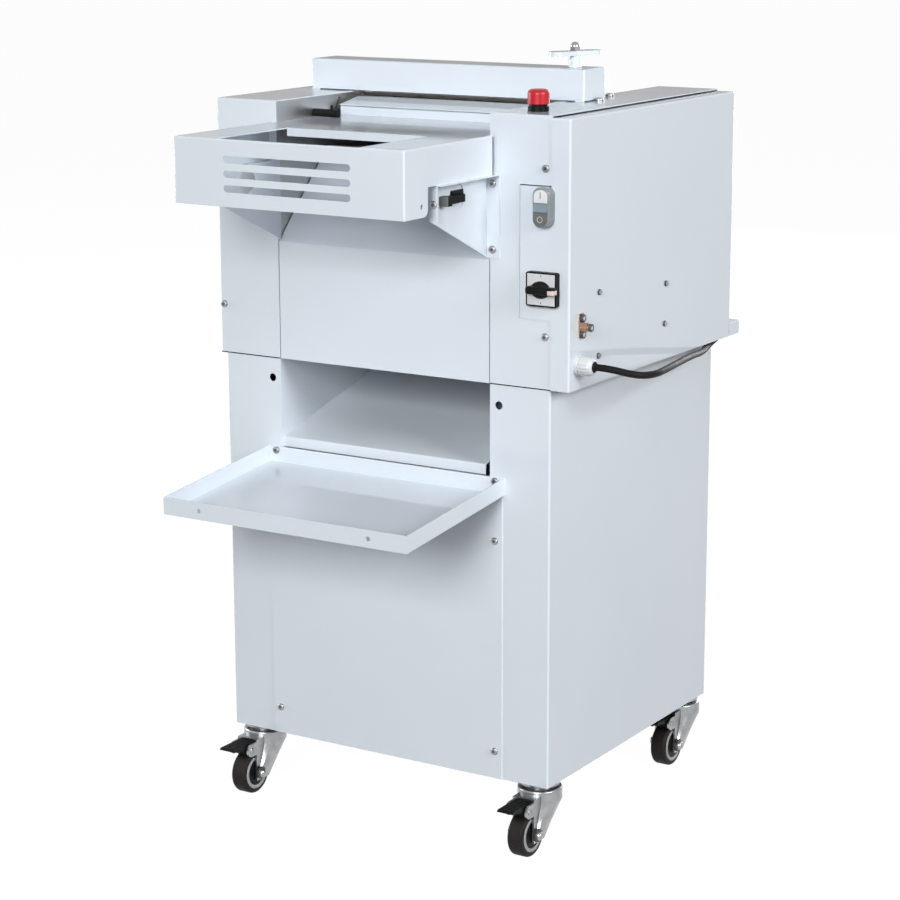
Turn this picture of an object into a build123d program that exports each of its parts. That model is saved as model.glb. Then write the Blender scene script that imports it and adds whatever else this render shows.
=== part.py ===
from build123d import *
import math
import os

# Bread moulder on casters, built in millimetres: X to the right, Y to the back, Z up from the floor.
# Sizes below are measured from the middle of the base front at floor level.

# General sheet and fits
SHEET = 1.5
BEND = 3
RUNNING = 0.05
CLEAR = 0.3

# Base cabinet
BASE_WIDTH = 560
BASE_DEPTH = 508
BASE_BOTTOM = 105
BASE_TOP = 693
SIDE_WIDTH = 98
FLOOR_SHEET = 3
INNER_WALL_GAP = 78
COLUMN_HOLE_OUT = 14.5
COLUMN_HOLE_Z = 662.5
COLUMN_HOLE_RADIUS = 6

# Lower front panel
PANEL_LAP = 21
PANEL_TOP = 530

# Discharge chute and tray
CHUTE_FRONT = 5
CHUTE_FOLD = 573
CHUTE_LIP = 15
CHUTE_SLOPE = 14.3
CHUTE_GAP = 10
STAY_WIDTH = 12
STAY_Y = (90, 330)
TRAY_LAP = 24
TRAY_REACH = 256
TRAY_BACK_RIM = 558
TRAY_FRONT_RIM = 531.5
TRAY_WALL = 25
TRAY_HOLE_INSET = 38.5
TRAY_HOLE_RADIUS = 3.5

# Head housings
HEAD_TOP = 1074
HEAD_BACK_LAP = 2
LEFT_OVERHANG = 10
RIGHT_OVERHANG = 30
COLUMN_OVERHANG = 1
RIGHT_COVER_TOP = 1071
SWITCH_TAB_WIDTH = 79
SWITCH_TAB_BOTTOM = 791
SWITCH_TAB_TOP = 976.5
SWITCH_TAB_SEAM = 1.5
FRAME_PLATE = 5

# Front cover, back cover and ledge
COVER_SEAM = 1.5
COVER_BEND = 868
COVER_SLOPE_REACH = 130
COVER_RETURN = (12, 40)
LEDGE_DEPTH = 36
LEDGE_HEIGHT = 21
BACK_COVER_BEND = 1020
BACK_COVER_FRONT = (268, 1066)

# Beam cover over the rolls
BEAM_INSET = (33, 61.5)
BEAM_DEPTH = 64
BEAM_HEIGHT = 45
BEAM_GAP = 1.5
BEAM_TAB = 15
GUIDE_RADIUS = 5
GUIDE_INSET = (35, 10.5)

# Rolls, yoke and spindle
ROLL_Y = 231.5
ROLL_END_GAP = 3
LOWER_ROLL_RADIUS = 38
LOWER_ROLL_Z = 1026
UPPER_ROLL_RADIUS = 15
ROLL_GAP = 2
JOURNAL_RADIUS = 6
YOKE_BLOCK_OUT = (4, 18)
YOKE_BLOCK_FOOT = 1075.5
YOKE_WIDTH = 24
YOKE_BAR = 6
YOKE_BAR_INSET = (25, 3)
SPINDLE_OUT = 4
SPINDLE_RADIUS = 5
SPINDLE_ENTRY = 0.5
SPINDLE_WELL = 9
STEM_RADIUS = 9
COLLAR_RADIUS = 12
COLLAR_HEIGHT = 2
STEM_HEIGHT = 17.5
HANDLE_THICKNESS = 6.5
HANDLE_HALF = 44
HANDLE_LOBE = 13
HANDLE_WAIST = 9
HANDLE_TURN = 65
NUT_RADIUS = 8
NUT_HEIGHT = 6

# Infeed table
TABLE_TOP = 1043
TABLE_LAP = 8
TABLE_FRONT = -231.5
TABLE_BACK_OF_SKIRT = -8
TABLE_SIDE_GAP = 1
TABLE_BACK = 151.5
SKIRT_BOTTOM = 950
NOTCH_Y = -174
NOTCH_Z = 989
NOTCH_CORNER = 10
SKIRT_HOLE = (-189, 964.5)
SKIRT_HOLE_RADIUS = 3.5
CUTOUT_INSET = 64
CUTOUT_BACK = -62
CUTOUT_LIP = 11.5
SLOT_INSET = 77
SLOT_RADIUS = 5
SLOT_Z = (1015, 995, 975)

# Brackets under the table
BRACKET_INSET = 6
BRACKET_REACH = 150
BRACKET_FRONT_FOOT = 940
BRACKET_FOOT = 872
BRACKET_FLANGE = 20.5
BRACKET_HOLE = (-81, 966)
BRACKET_HOLE_RADIUS = 18.5
BRACKET_LIP = 14
CATCH_BODY = (-4.5, 2, -96, -67, 957.5, 975)
CATCH_ARM = (0.5, 10.5, -127, -75, 959, 970)
CATCH_END = (0.5, 14.5, -127, -115, 957.5, 971)
CATCH_EDGE = 1
CATCH_FLANGE = (3, 22)

# Feed ramp and stop bar
RAMP_NOSE = (149, 1058)
RAMP_END = (198, 1066.5)
RAMP_SIDE_GAP = 11
RISER_Y = 152.5
RISER_TOP = 1055.5
RISER_FOLD = 167
STOP_BAR_RADIUS = 6
STOP_BAR_LENGTH = 44
STOP_BAR_Y = 97
STOP_PIN = (12, 2, 6)
WALL_SLOT = ((151, 1049), (163, 1068))
WALL_SLOT_WIDTH = 3

# Moulding belt and pressure board
DRUM_RADIUS = 35
DRUM_END_GAP = 7
DRUM_Z = 860
DRIVE_DRUM_Y = 150
IDLER_DRUM_INSET = 110
BELT_END_GAP = 17
BELT_THICKNESS = 3
BELT_GAP = 0.4
DOUGH_SPACE = 18
BOARD_FRONT = 125
BOARD_THICKNESS = 3
BOARD_TOP = 950

# Shafts, bearings and chain
SHAFT_RADIUS = 10
SHAFT_HOLE = 16
BEARING_FLANGE = 56
BEARING_FLANGE_DEPTH = 8
BEARING_BOSS_RADIUS = 20
BEARING_DEPTH = 16
CHAIN_OUT = 43
SHAFT_PAST_CHAIN = 10
SPROCKET_RADIUS = 35
SPROCKET_WIDTH = 6
SPROCKET_TEETH = 20
TOOTH_GAP_RADIUS = 2.5
CHAIN_WIDTH = 8
CHAIN_THICKNESS = 6.5

# Motor and drive belt
MOTOR_Y = 150
MOTOR_Z = 200
MOTOR_RADIUS = 70
MOTOR_LENGTH = 200
MOTOR_NOSE = (66, 12)
MOTOR_WALL_GAP = 10
MOTOR_SHAFT_RADIUS = 9.5
MOTOR_FOOT = (120, 120, 8)
MOTOR_PEDESTAL = (100, 80)
MOTOR_BOX = (60, 50, 100)
MOTOR_SHAFT_IN = 160
MOTOR_WALL_HOLE = 30
PULLEY_OUT = 53
PULLEY_WIDTH = 17
GROOVE_WIDTH = 11
GROOVE_DEPTH = 8
MOTOR_PULLEY_RADIUS = 30
DRUM_PULLEY_RADIUS = 90
DRIVE_BELT_WIDTH = 10
SHAFT_PAST_PULLEY = 11

# Emergency stop on the right top plate
ESTOP_INSET = 79.5
ESTOP_Y = 49
ESTOP_COLLAR_RADIUS = 15
ESTOP_COLLAR = 6.5
ESTOP_BARREL_RADIUS = 10.8
ESTOP_BARREL = 39
ESTOP_HEAD_RADIUS = 15.5
ESTOP_HEAD = 20.2
ESTOP_GAP = 3.8
ESTOP_STEM_RADIUS = 13
ESTOP_STEM_ENTRY = 1
ESTOP_STEM_CLEAR = 0.2

# Double push button and rotary switch on the tab
BUTTON_INSET = 37.6
BUTTON_Z = 949.5
BUTTON_HOUSING = (28, 56, 12)
BUTTON_HOUSING_DEPTH = 16
BUTTON_HOUSING_EDGE = 4
BUTTON_BODY = (14, 44, 28)
BUTTON_FACE = (21, 49, 9)
BUTTON_WELL = 13
START_PROUD = 1
STOP_PROUD = 2
BUTTON_LENGTH = 9
LENS_HEIGHT = 13
LENS_PROUD = 2.5
ROTARY_INSET = 39.6
ROTARY_Z = 835.5
ROTARY_PLATE = 48
ROTARY_PLATE_DEPTH = 10
ROTARY_BODY = (18, 45)
KNOB_RADIUS = 16
KNOB_DISC = 4
KNOB_HANDLE = (36, 11, 10)
KNOB_SHAFT_RADIUS = 4
KNOB_SHAFT = 16

# Control panel behind the right cover
PANEL_SHEET = 2
PANEL_Y = (70, 300)
PANEL_Z = (722, 832)
CONTACTOR_DEPTH = 56.5
CONTACTOR = (246, 279, 737, 812)
SIDE_BOLTS = ((83, 822.5), (288, 806.5), (285.5, 747), (82, 732))
BOLT_HEAD_RADIUS = 4.2
BOLT_HEAD = 3.5
BOLT_RADIUS = 2.5
BOLT_LENGTH = 12

# Earth terminal on the right cover
TERMINAL_Y = 31
TERMINAL_Z = (766, 800)
TERMINAL_WIDTH = 12
TERMINAL_PLATE = 2
TERMINAL_BOLT_Z = (793.5, 770.5)
TERMINAL_BOLT = (4.5, 3.5)
TERMINAL_STUD_Z = 781
TERMINAL_NUT_RADIUS = 7
TERMINAL_NUT_END = 12
TERMINAL_STUD_RADIUS = 4.5
TERMINAL_REACH = 18

# Screws with round heads
SCREW_HEAD_RADIUS = 5.5
SCREW_HEAD = 3.5
SCREW_RADIUS = 2.5
SCREW_LENGTH = 8
PANEL_SCREW_INSET = 12
PANEL_SCREW_Z = (146.5, 464)
TRAY_SCREW_Z = 552
BRACKET_SCREW_OUT = 5
BRACKET_SCREW_Z = (976, 884)
LIP_SCREW_OUT = 2
LIP_SCREW_Z = 962.5
RIGHT_COLUMN_SCREW_INSET = 10
RIGHT_COLUMN_SCREW_Z = (1001.5, 767.5)
LEFT_COLUMN_SCREW_INSET = 7
LEFT_COLUMN_SCREW_Z = 766.5
TOP_BOLT_PLACES = ((8.5, 229), (-14, 302))
TOP_BOLT_RADIUS = 6.5
TOP_BOLT_HEAD = 5

# Casters
CASTER_INSET_X = 32
CASTER_INSET_FRONT = 33
CASTER_INSET_BACK = 25
CASTER_TRAIL = 41
CASTER_RING_RADIUS = 30
CASTER_RING = 9
CASTER_RING_BOSS_RADIUS = 24
CASTER_RING_BOSS = 2
CASTER_STUD_RADIUS = 6
CASTER_STUD = 13
KINGPIN_RADIUS = 9
KINGPIN = 5.5
WHEEL_RADIUS = 34
WHEEL_WIDTH = 25
HUB_RADIUS = 26
AXLE_RADIUS = 4
AXLE_HALF = 22
AXLE_HEAD_RADIUS = 7
FORK_GAP = 30
FORK_SHEET = 3
FORK_TOP = 95.7
FORK_CROWN = 5
FORK_CROWN_RADIUS = 33
FORK_SHOULDER = 77
FORK_FOOT = 22
FORK_FRONT = -48
FORK_CREASE = -18
FORK_VISOR = 86
WHEEL_CLEARANCE = 3
PEDAL_PIVOT = (-60, 75)
PEDAL_EAR_RADIUS = 10
PEDAL_PIN_RADIUS = 3
PEDAL_HALF = 13
PEDAL_OUTLINE = (
    (-50, 86.5), (-98, 86.5), (-101, 85), (-101, 83.5), (-74, 78), (-66, 68.5), (-56, 67.5), (-50, 72))

# Cord
CORD_RADIUS = 5
GLAND_Y = 23
GLAND_Z = 728
GLAND_NUT_RADIUS = 14
GLAND_NUT = 12
GLAND_TIP_RADIUS = 11
GLAND_LENGTH = 28
GLAND_THREAD_RADIUS = 8
CORD_DROP_X = 20
CORD_DROP_Y = 530
LEDGE_CORD_Z = 703
COIL_BEND = 50
COIL_START = 70
COIL_Z = 6.4
COIL_INNER_RADIUS = 48
COIL_STEP = 5.4
COIL_HALF_TURNS = 4
COIL_TAIL = 34
TIE_WIDTH = 6
TIE_THICKNESS = 1.2
TIE_CLEAR = 0.2
CLIP_X = 150
CLIP_WIDTH = 14
CLIP_WALL = 3
PLUG_WIDTH = 36
PLUG_HEIGHT = 17
PLUG_BODY = 40
PLUG_NECK = 12
PIN_RADIUS = 2.4
PIN_LENGTH = 19
PIN_SPACING = 9.5
PIN_DROP = 3

# Worked-out sizes
BASE_HALF = BASE_WIDTH / 2
OPENING_WIDTH = BASE_WIDTH - 2 * SIDE_WIDTH
OPENING_HALF = OPENING_WIDTH / 2
INNER_WALL_DEPTH = BASE_DEPTH - INNER_WALL_GAP
CHUTE_BACK = INNER_WALL_DEPTH
PANEL_WIDTH = OPENING_WIDTH + 2 * PANEL_LAP
TRAY_WIDTH = OPENING_WIDTH + 2 * TRAY_LAP
TRAY_HOLE_X = OPENING_HALF - TRAY_HOLE_INSET
PANEL_SCREW_X = PANEL_WIDTH / 2 - PANEL_SCREW_INSET
BRACKET_SCREW_X = OPENING_HALF + BRACKET_SCREW_OUT
LIP_SCREW_X = OPENING_HALF + LIP_SCREW_OUT
COLUMN_HOLE = (OPENING_HALF + COLUMN_HOLE_OUT, COLUMN_HOLE_Z)
BACK_SHEET = BASE_DEPTH - SHEET
HEAD_LEFT = -BASE_HALF - LEFT_OVERHANG
HEAD_RIGHT = BASE_HALF + RIGHT_OVERHANG
HEAD_DEPTH = BASE_DEPTH + HEAD_BACK_LAP
HEAD_BACK = HEAD_DEPTH - SHEET
RIGHT_COLUMN = BASE_HALF + COLUMN_OVERHANG
SWITCH_TAB_LEFT = HEAD_RIGHT - SWITCH_TAB_WIDTH
ESTOP_X = HEAD_RIGHT - ESTOP_INSET
BUTTON_X = HEAD_RIGHT - BUTTON_INSET
ROTARY_X = HEAD_RIGHT - ROTARY_INSET
LEDGE_BACK = HEAD_DEPTH + LEDGE_DEPTH
LEDGE_TOP = BASE_TOP + LEDGE_HEIGHT
PLATE_OUTER = OPENING_HALF + FRAME_PLATE
ROLL_HALF = OPENING_HALF - ROLL_END_GAP
YOKE_BLOCK = (OPENING_HALF + YOKE_BLOCK_OUT[0], OPENING_HALF + YOKE_BLOCK_OUT[1])
SPINDLE_X = OPENING_HALF + SPINDLE_OUT
UPPER_ROLL_Z = LOWER_ROLL_Z + LOWER_ROLL_RADIUS + ROLL_GAP + UPPER_ROLL_RADIUS
BEAM_LEFT = HEAD_LEFT + BEAM_INSET[0]
BEAM_RIGHT = RIGHT_COLUMN - BEAM_INSET[1]
BEAM_TOP = HEAD_TOP + BEAM_GAP + BEAM_HEIGHT
TOP_BOLTS = [(BEAM_RIGHT + x, y) for x, y in TOP_BOLT_PLACES]
BEAM_FRONT = ROLL_Y - BEAM_DEPTH / 2
BEAM_BACK = ROLL_Y + BEAM_DEPTH / 2
GUIDE_X = (BEAM_LEFT + GUIDE_INSET[0], BEAM_RIGHT - GUIDE_INSET[1])
YOKE_BAR_ENDS = (BEAM_LEFT + YOKE_BAR_INSET[0], BEAM_RIGHT - YOKE_BAR_INSET[1])
YOKE_BAR_BOTTOM = UPPER_ROLL_Z + UPPER_ROLL_RADIUS + ROLL_GAP
SPINDLE_FOOT = YOKE_BAR_BOTTOM + SPINDLE_ENTRY
HANDLE_BOTTOM = BEAM_TOP + STEM_HEIGHT
TABLE_HALF = OPENING_HALF + TABLE_LAP
TABLE_INNER_HALF = OPENING_HALF - TABLE_SIDE_GAP
CUTOUT_HALF = OPENING_HALF - CUTOUT_INSET
SLOT_HALF = OPENING_HALF - SLOT_INSET
BRACKET_X = OPENING_HALF - BRACKET_INSET
RAMP_LEFT = RAMP_SIDE_GAP - OPENING_HALF
STOP_BAR_END = STOP_BAR_LENGTH - OPENING_HALF
IDLER_DRUM_Y = HEAD_DEPTH - IDLER_DRUM_INSET
DRUM_HALF = OPENING_HALF - DRUM_END_GAP
BELT_HALF = OPENING_HALF - BELT_END_GAP
CHAIN_X = -OPENING_HALF - CHAIN_OUT
SHAFT_LEFT_END = CHAIN_X - SHAFT_PAST_CHAIN
PULLEY_X = OPENING_HALF + PULLEY_OUT
DRUM_SHAFT_END = PULLEY_X + SHAFT_PAST_PULLEY
MOTOR_NOSE_END = OPENING_HALF - MOTOR_WALL_GAP
MOTOR_FRONT = MOTOR_NOSE_END - MOTOR_NOSE[1]
MOTOR_X = (MOTOR_FRONT - MOTOR_LENGTH, MOTOR_FRONT)
SHAFTS = ((ROLL_Y, LOWER_ROLL_Z), (DRIVE_DRUM_Y, DRUM_Z), (IDLER_DRUM_Y, DRUM_Z))
BELT_INNER = DRUM_RADIUS + BELT_GAP
BELT_OUTER = BELT_INNER + BELT_THICKNESS
BOARD_RADIUS = BELT_OUTER + DOUGH_SPACE
GLAND_TIP = HEAD_RIGHT + GLAND_LENGTH
CASTER_X = BASE_HALF - CASTER_INSET_X
CASTER_FRONT_Y = CASTER_INSET_FRONT
CASTER_BACK_Y = BASE_DEPTH - CASTER_INSET_BACK
# The part stands with the middle of its outer box on the origin.
ORIGIN = Pos(-(HEAD_LEFT + HEAD_RIGHT + TERMINAL_REACH) / 2, -(LEDGE_BACK - TRAY_REACH) / 2, 0)


# Basic shapes

def block(x0, x1, y0, y1, z0, z1):
    middle = Pos((x0 + x1) / 2, (y0 + y1) / 2, (z0 + z1) / 2)
    return middle * Box(x1 - x0, y1 - y0, z1 - z0)


def rod_x(radius, x0, x1, y, z):
    return Pos((x0 + x1) / 2, y, z) * Rot(0, 90, 0) * Cylinder(radius, x1 - x0)


def rod_y(radius, y0, y1, x, z):
    return Pos(x, (y0 + y1) / 2, z) * Rot(90, 0, 0) * Cylinder(radius, y1 - y0)


def rod_z(radius, z0, z1, x, y):
    return Pos(x, y, (z0 + z1) / 2) * Cylinder(radius, z1 - z0)


def outline(points):
    return make_face(Polyline(*points, close=True))


def along_x(face, x0, x1):
    """Raise a face drawn in (y, z) from x0 to x1."""
    return Pos(x0, 0, 0) * (Plane.YZ * extrude(face, x1 - x0))


def along_y(face, y0, y1):
    """Raise a face drawn in (x, z) from y0 to y1."""
    return Pos(0, y1, 0) * (Plane.XZ * extrude(face, y1 - y0))


def along_z(face, z0, z1):
    """Raise a face drawn in (x, y) from z0 to z1."""
    return Pos(0, 0, z0) * extrude(face, z1 - z0)


def folded(points, thickness):
    """Outline of a folded sheet: the path, and its copy set off to the right of the way it runs."""
    steps = [(b[0] - a[0], b[1] - a[1]) for a, b in zip(points, points[1:])]
    normals = [(v / math.hypot(u, v), -u / math.hypot(u, v)) for u, v in steps]
    before = [normals[0]] + normals
    after = normals + [normals[-1]]
    inside = []
    for point, n, m in zip(points, before, after):
        reach = thickness / (1 + n[0] * m[0] + n[1] * m[1])
        inside.append((point[0] + reach * (n[0] + m[0]), point[1] + reach * (n[1] + m[1])))
    sheet = outline(list(points) + inside[::-1])
    for path_corner, inside_corner, n, m in zip(points[1:-1], inside[1:-1], normals, normals[1:]):
        outer, inner = path_corner, inside_corner
        if n[0] * m[1] - n[1] * m[0] > 0:
            outer, inner = inside_corner, path_corner
        sheet = fillet(vertices_at(sheet, outer), BEND)
        sheet = fillet(vertices_at(sheet, inner), BEND - thickness)
    return sheet


def vertices_at(face, point):
    return [v for v in face.vertices() if math.dist((v.X, v.Y), point) < SHEET / 10]


def bent_block(x0, x1, y0, y1, z0, z1, keep_sharp):
    """Block with edges rounded as sheet bends; keep_sharp tells by an edge's middle which ones are left."""
    body = block(x0, x1, y0, y1, z0, z1)
    return fillet([edge for edge in body.edges() if not keep_sharp(edge.center())], BEND)


def around(centre_a, radius_a, centre_b, radius_b):
    """Face with the outline of a belt drawn tight round two circles."""
    across = (centre_b[0] - centre_a[0], centre_b[1] - centre_a[1])
    lean = math.acos((radius_a - radius_b) / math.hypot(*across))
    heading = math.atan2(across[1], across[0])
    corners = []
    for centre, radius, signs in ((centre_a, radius_a, (1, -1)), (centre_b, radius_b, (-1, 1))):
        for sign in signs:
            turn = heading + sign * lean
            corners.append((centre[0] + radius * math.cos(turn), centre[1] + radius * math.sin(turn)))
    return Pos(*centre_a) * Circle(radius_a) + Pos(*centre_b) * Circle(radius_b) + outline(corners)


def band(centre_a, radius_a, centre_b, radius_b, thickness, x0, x1):
    """Endless belt round two wheels; the radii are those of its inner side."""
    outer = around(centre_a, radius_a + thickness, centre_b, radius_b + thickness)
    inner = around(centre_a, radius_a, centre_b, radius_b)
    return along_x(outer - inner, x0, x1)


def both_sides(body):
    return [body, mirror(body, about=Plane.YZ)]


# Screws, and the holes they need

def screw_places():
    """Head seats of the round-headed screws, all driven in from the front."""
    places = [(side * PANEL_SCREW_X, -SHEET, z) for side in (-1, 1) for z in PANEL_SCREW_Z]
    places += [(side * PANEL_SCREW_X, -SHEET, TRAY_SCREW_Z) for side in (-1, 1)]
    places += [(side * BRACKET_SCREW_X, -SHEET, z) for side in (-1, 1) for z in BRACKET_SCREW_Z]
    places += [(side * LIP_SCREW_X, -BRACKET_REACH, LIP_SCREW_Z) for side in (-1, 1)]
    places += [(RIGHT_COLUMN - RIGHT_COLUMN_SCREW_INSET, 0, z) for z in RIGHT_COLUMN_SCREW_Z]
    places += [(HEAD_LEFT + LEFT_COLUMN_SCREW_INSET, 0, LEFT_COLUMN_SCREW_Z)]
    return places


def drilled(body):
    """Clearance holes for every round-headed screw that passes the body."""
    for x, y, z in screw_places():
        body -= rod_y(SCREW_RADIUS + CLEAR, y, y + SCREW_LENGTH, x, z)
    return body


def screws():
    solids = []
    for x, y, z in screw_places():
        shank = rod_y(SCREW_RADIUS, y, y + SCREW_LENGTH, x, z)
        head = rod_y(SCREW_HEAD_RADIUS, y - SCREW_HEAD, y, x, z)
        rim = head.edges().group_by(Axis.Y)[0]
        solids.append(shank + fillet(rim, SCREW_HEAD / 2))
    for x, y in TOP_BOLTS:
        head = rod_z(TOP_BOLT_RADIUS, HEAD_TOP, HEAD_TOP + TOP_BOLT_HEAD, x, y)
        rim = head.edges().group_by(Axis.Z)[-1]
        shank = rod_z(SCREW_RADIUS, HEAD_TOP - SCREW_LENGTH, HEAD_TOP, x, y)
        solids.append(shank + fillet(rim, TOP_BOLT_HEAD / 2))
    return solids


# Base cabinet

def base_side_panels():
    """Outer side and front column folded from one sheet, with the wall beside the chute."""
    shell = folded([(BASE_HALF, BACK_SHEET), (BASE_HALF, 0), (OPENING_HALF, 0)], SHEET)
    panel = along_z(shell, BASE_BOTTOM, BASE_TOP)
    wall = block(
        OPENING_HALF, OPENING_HALF + SHEET, SHEET, INNER_WALL_DEPTH, BASE_BOTTOM + FLOOR_SHEET, BASE_TOP)
    hole = rod_y(COLUMN_HOLE_RADIUS, -SHEET, 2 * SHEET, *COLUMN_HOLE)
    panel = drilled(panel + wall - hole)
    right, left = both_sides(panel)
    shaft_hole = rod_x(MOTOR_WALL_HOLE, OPENING_HALF - SHEET, OPENING_HALF + 2 * SHEET, MOTOR_Y, MOTOR_Z)
    return [left, right - shaft_hole]


def base_rear_and_floor():
    """Back panel with the floor plate welded to its foot."""
    inside = BASE_HALF - SHEET
    floor = block(-inside, inside, BEND, BACK_SHEET, BASE_BOTTOM, BASE_BOTTOM + FLOOR_SHEET)
    for x in (-CASTER_X, CASTER_X):
        for y in (CASTER_FRONT_Y, CASTER_BACK_Y):
            floor -= rod_z(CASTER_STUD_RADIUS + CLEAR, BASE_BOTTOM, BASE_BOTTOM + FLOOR_SHEET, x, y)
    return floor + block(-BASE_HALF, BASE_HALF, BACK_SHEET, BASE_DEPTH, BASE_BOTTOM, BASE_TOP)


def base_front_panel():
    return drilled(block(-PANEL_WIDTH / 2, PANEL_WIDTH / 2, -SHEET, 0, BASE_BOTTOM, PANEL_TOP))


def slide_height(y):
    return CHUTE_FOLD + (y - CHUTE_FRONT) * math.tan(math.radians(CHUTE_SLOPE))


def chute():
    fold = (CHUTE_FRONT, CHUTE_FOLD)
    path = [(CHUTE_FRONT, CHUTE_FOLD - CHUTE_LIP), fold, (CHUTE_BACK, slide_height(CHUTE_BACK))]
    right = OPENING_HALF - CHUTE_GAP
    slide = along_x(folded(path, SHEET), -OPENING_HALF, right)
    for y in STAY_Y:
        back = y + STAY_WIDTH
        top = slide_height(y) - SHEET
        foot = top - STAY_WIDTH
        stay = outline([(y, top), (back, slide_height(back) - SHEET), (back, foot), (y, foot)])
        slide += along_x(stay, right - STAY_WIDTH, OPENING_HALF)
    return slide


def tray_sheet(x0, x1, y0, y1, below, above):
    """Sheet of the tray between two depths under its sloping rim."""
    slope = (TRAY_BACK_RIM - TRAY_FRONT_RIM) / TRAY_REACH
    corners = [(y0, below), (y1, below), (y1, above), (y0, above)]
    return along_x(outline([(y, TRAY_BACK_RIM + slope * y - depth) for y, depth in corners]), x0, x1)


def discharge_tray():
    """Sloping floor sheet with four walls welded on round it."""
    half = TRAY_WIDTH / 2
    inside = half - SHEET
    floor_depth = TRAY_WALL - SHEET
    floor = tray_sheet(-half, half, -TRAY_REACH, 0, TRAY_WALL, floor_depth)
    side = tray_sheet(inside, half, -TRAY_REACH, 0, floor_depth, 0)
    back = drilled(tray_sheet(-inside, inside, -SHEET, 0, floor_depth, 0))
    front = tray_sheet(-inside, inside, -TRAY_REACH, SHEET - TRAY_REACH, floor_depth, 0)
    for x in (-TRAY_HOLE_X, TRAY_HOLE_X):
        hole_z = TRAY_FRONT_RIM - TRAY_WALL / 2
        front -= rod_y(TRAY_HOLE_RADIUS, -TRAY_REACH - SHEET, 2 * SHEET - TRAY_REACH, x, hole_z)
    return [floor, back, front] + both_sides(side)


# Head

def frame_plates():
    plate = block(OPENING_HALF, PLATE_OUTER, SHEET, HEAD_BACK, BASE_TOP, HEAD_TOP - SHEET)
    for y, z in SHAFTS:
        plate -= rod_x(SHAFT_HOLE, OPENING_HALF, PLATE_OUTER, y, z)
    right, left = both_sides(drilled(plate))
    low, high = WALL_SLOT
    slot = outline([low, (low[0] + WALL_SLOT_WIDTH, low[1]), (high[0] + WALL_SLOT_WIDTH, high[1]), high])
    return [left - along_x(slot, -PLATE_OUTER, -OPENING_HALF), right]


def left_cover():
    cover = bent_block(
        HEAD_LEFT, -OPENING_HALF, 0, HEAD_DEPTH, BASE_TOP, HEAD_TOP,
        lambda middle: middle.Z < BASE_TOP + SHEET or middle.X > -OPENING_HALF - SHEET)
    cover -= block(HEAD_LEFT + SHEET, 0, SHEET, HEAD_BACK, 0, HEAD_TOP - SHEET)
    return drilled(cover)


def tab_openings(y0, y1):
    """Holes in the switch tab and the column behind it for the bodies of the switches."""
    width, height, depth = BUTTON_BODY
    half = ROTARY_BODY[0] / 2 + CLEAR
    buttons = block(
        BUTTON_X - width / 2 - CLEAR, BUTTON_X + width / 2 + CLEAR, y0, y1,
        BUTTON_Z - height / 2 - CLEAR, BUTTON_Z + height / 2 + CLEAR)
    rotary = block(ROTARY_X - half, ROTARY_X + half, y0, y1, ROTARY_Z - half, ROTARY_Z + half)
    return buttons + rotary


def right_column():
    column = bent_block(
        OPENING_HALF, RIGHT_COLUMN, 0, HEAD_DEPTH, BASE_TOP, HEAD_TOP,
        lambda middle: middle.Z < HEAD_TOP - SHEET or SHEET < middle.Y < HEAD_BACK)
    column -= block(0, HEAD_RIGHT, SHEET, HEAD_BACK, 0, HEAD_TOP - SHEET)
    column -= tab_openings(0, SHEET)
    left = SWITCH_TAB_LEFT - SWITCH_TAB_SEAM
    column -= block(left, SWITCH_TAB_LEFT, 0, SHEET, SWITCH_TAB_BOTTOM, SWITCH_TAB_TOP)
    column -= block(left, RIGHT_COLUMN, 0, SHEET, SWITCH_TAB_TOP, SWITCH_TAB_TOP + SWITCH_TAB_SEAM)
    column -= rod_z(ESTOP_BARREL_RADIUS + CLEAR, HEAD_TOP - SHEET, HEAD_TOP, ESTOP_X, ESTOP_Y)
    for x, y in TOP_BOLTS:
        column -= rod_z(SCREW_RADIUS + CLEAR, HEAD_TOP - SHEET, HEAD_TOP, x, y)
    return drilled(column)


def right_cover():
    """Side sheet with front, top and back flanges; the front one widens into the switch tab."""
    inner = RIGHT_COLUMN + SHEET
    side = HEAD_RIGHT - SHEET
    cover = bent_block(
        RIGHT_COLUMN, HEAD_RIGHT, -SHEET, HEAD_DEPTH, BASE_TOP, RIGHT_COVER_TOP,
        lambda middle: middle.Z < BASE_TOP + SHEET or middle.X < inner)
    cover -= block(0, side, 0, HEAD_BACK, 0, RIGHT_COVER_TOP - SHEET)
    cover -= block(0, inner, 0, HEAD_DEPTH, 0, HEAD_TOP)
    cover -= block(0, side, HEAD_BACK, HEAD_DEPTH, 0, LEDGE_TOP)
    cover += block(SWITCH_TAB_LEFT, inner, -SHEET, 0, SWITCH_TAB_BOTTOM, SWITCH_TAB_TOP)
    cover -= tab_openings(-SHEET, 0)
    cover -= rod_x(GLAND_THREAD_RADIUS + RUNNING, HEAD_RIGHT - SHEET, HEAD_RIGHT, GLAND_Y, GLAND_Z)
    for y, z in SIDE_BOLTS:
        cover -= rod_x(BOLT_RADIUS + CLEAR, HEAD_RIGHT - SHEET, HEAD_RIGHT, y, z)
    return cover


def front_cover():
    """Upright sheet that leans back under the table, with two returns against the frame plates."""
    half = OPENING_HALF - COVER_SEAM
    path = [(0, BASE_TOP), (0, COVER_BEND), (COVER_SLOPE_REACH, COVER_BEND + COVER_SLOPE_REACH)]
    cover = along_x(folded(path, SHEET), -half, half)
    front, back = COVER_RETURN
    for x in (-OPENING_HALF, half - SHEET):
        cover += block(x, x + SHEET + COVER_SEAM, SHEET / 2, back, BASE_TOP, COVER_BEND)
    for x in (-OPENING_HALF, half):
        cover -= block(x, x + COVER_SEAM, 0, front, BASE_TOP, COVER_BEND)
    return cover


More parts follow.
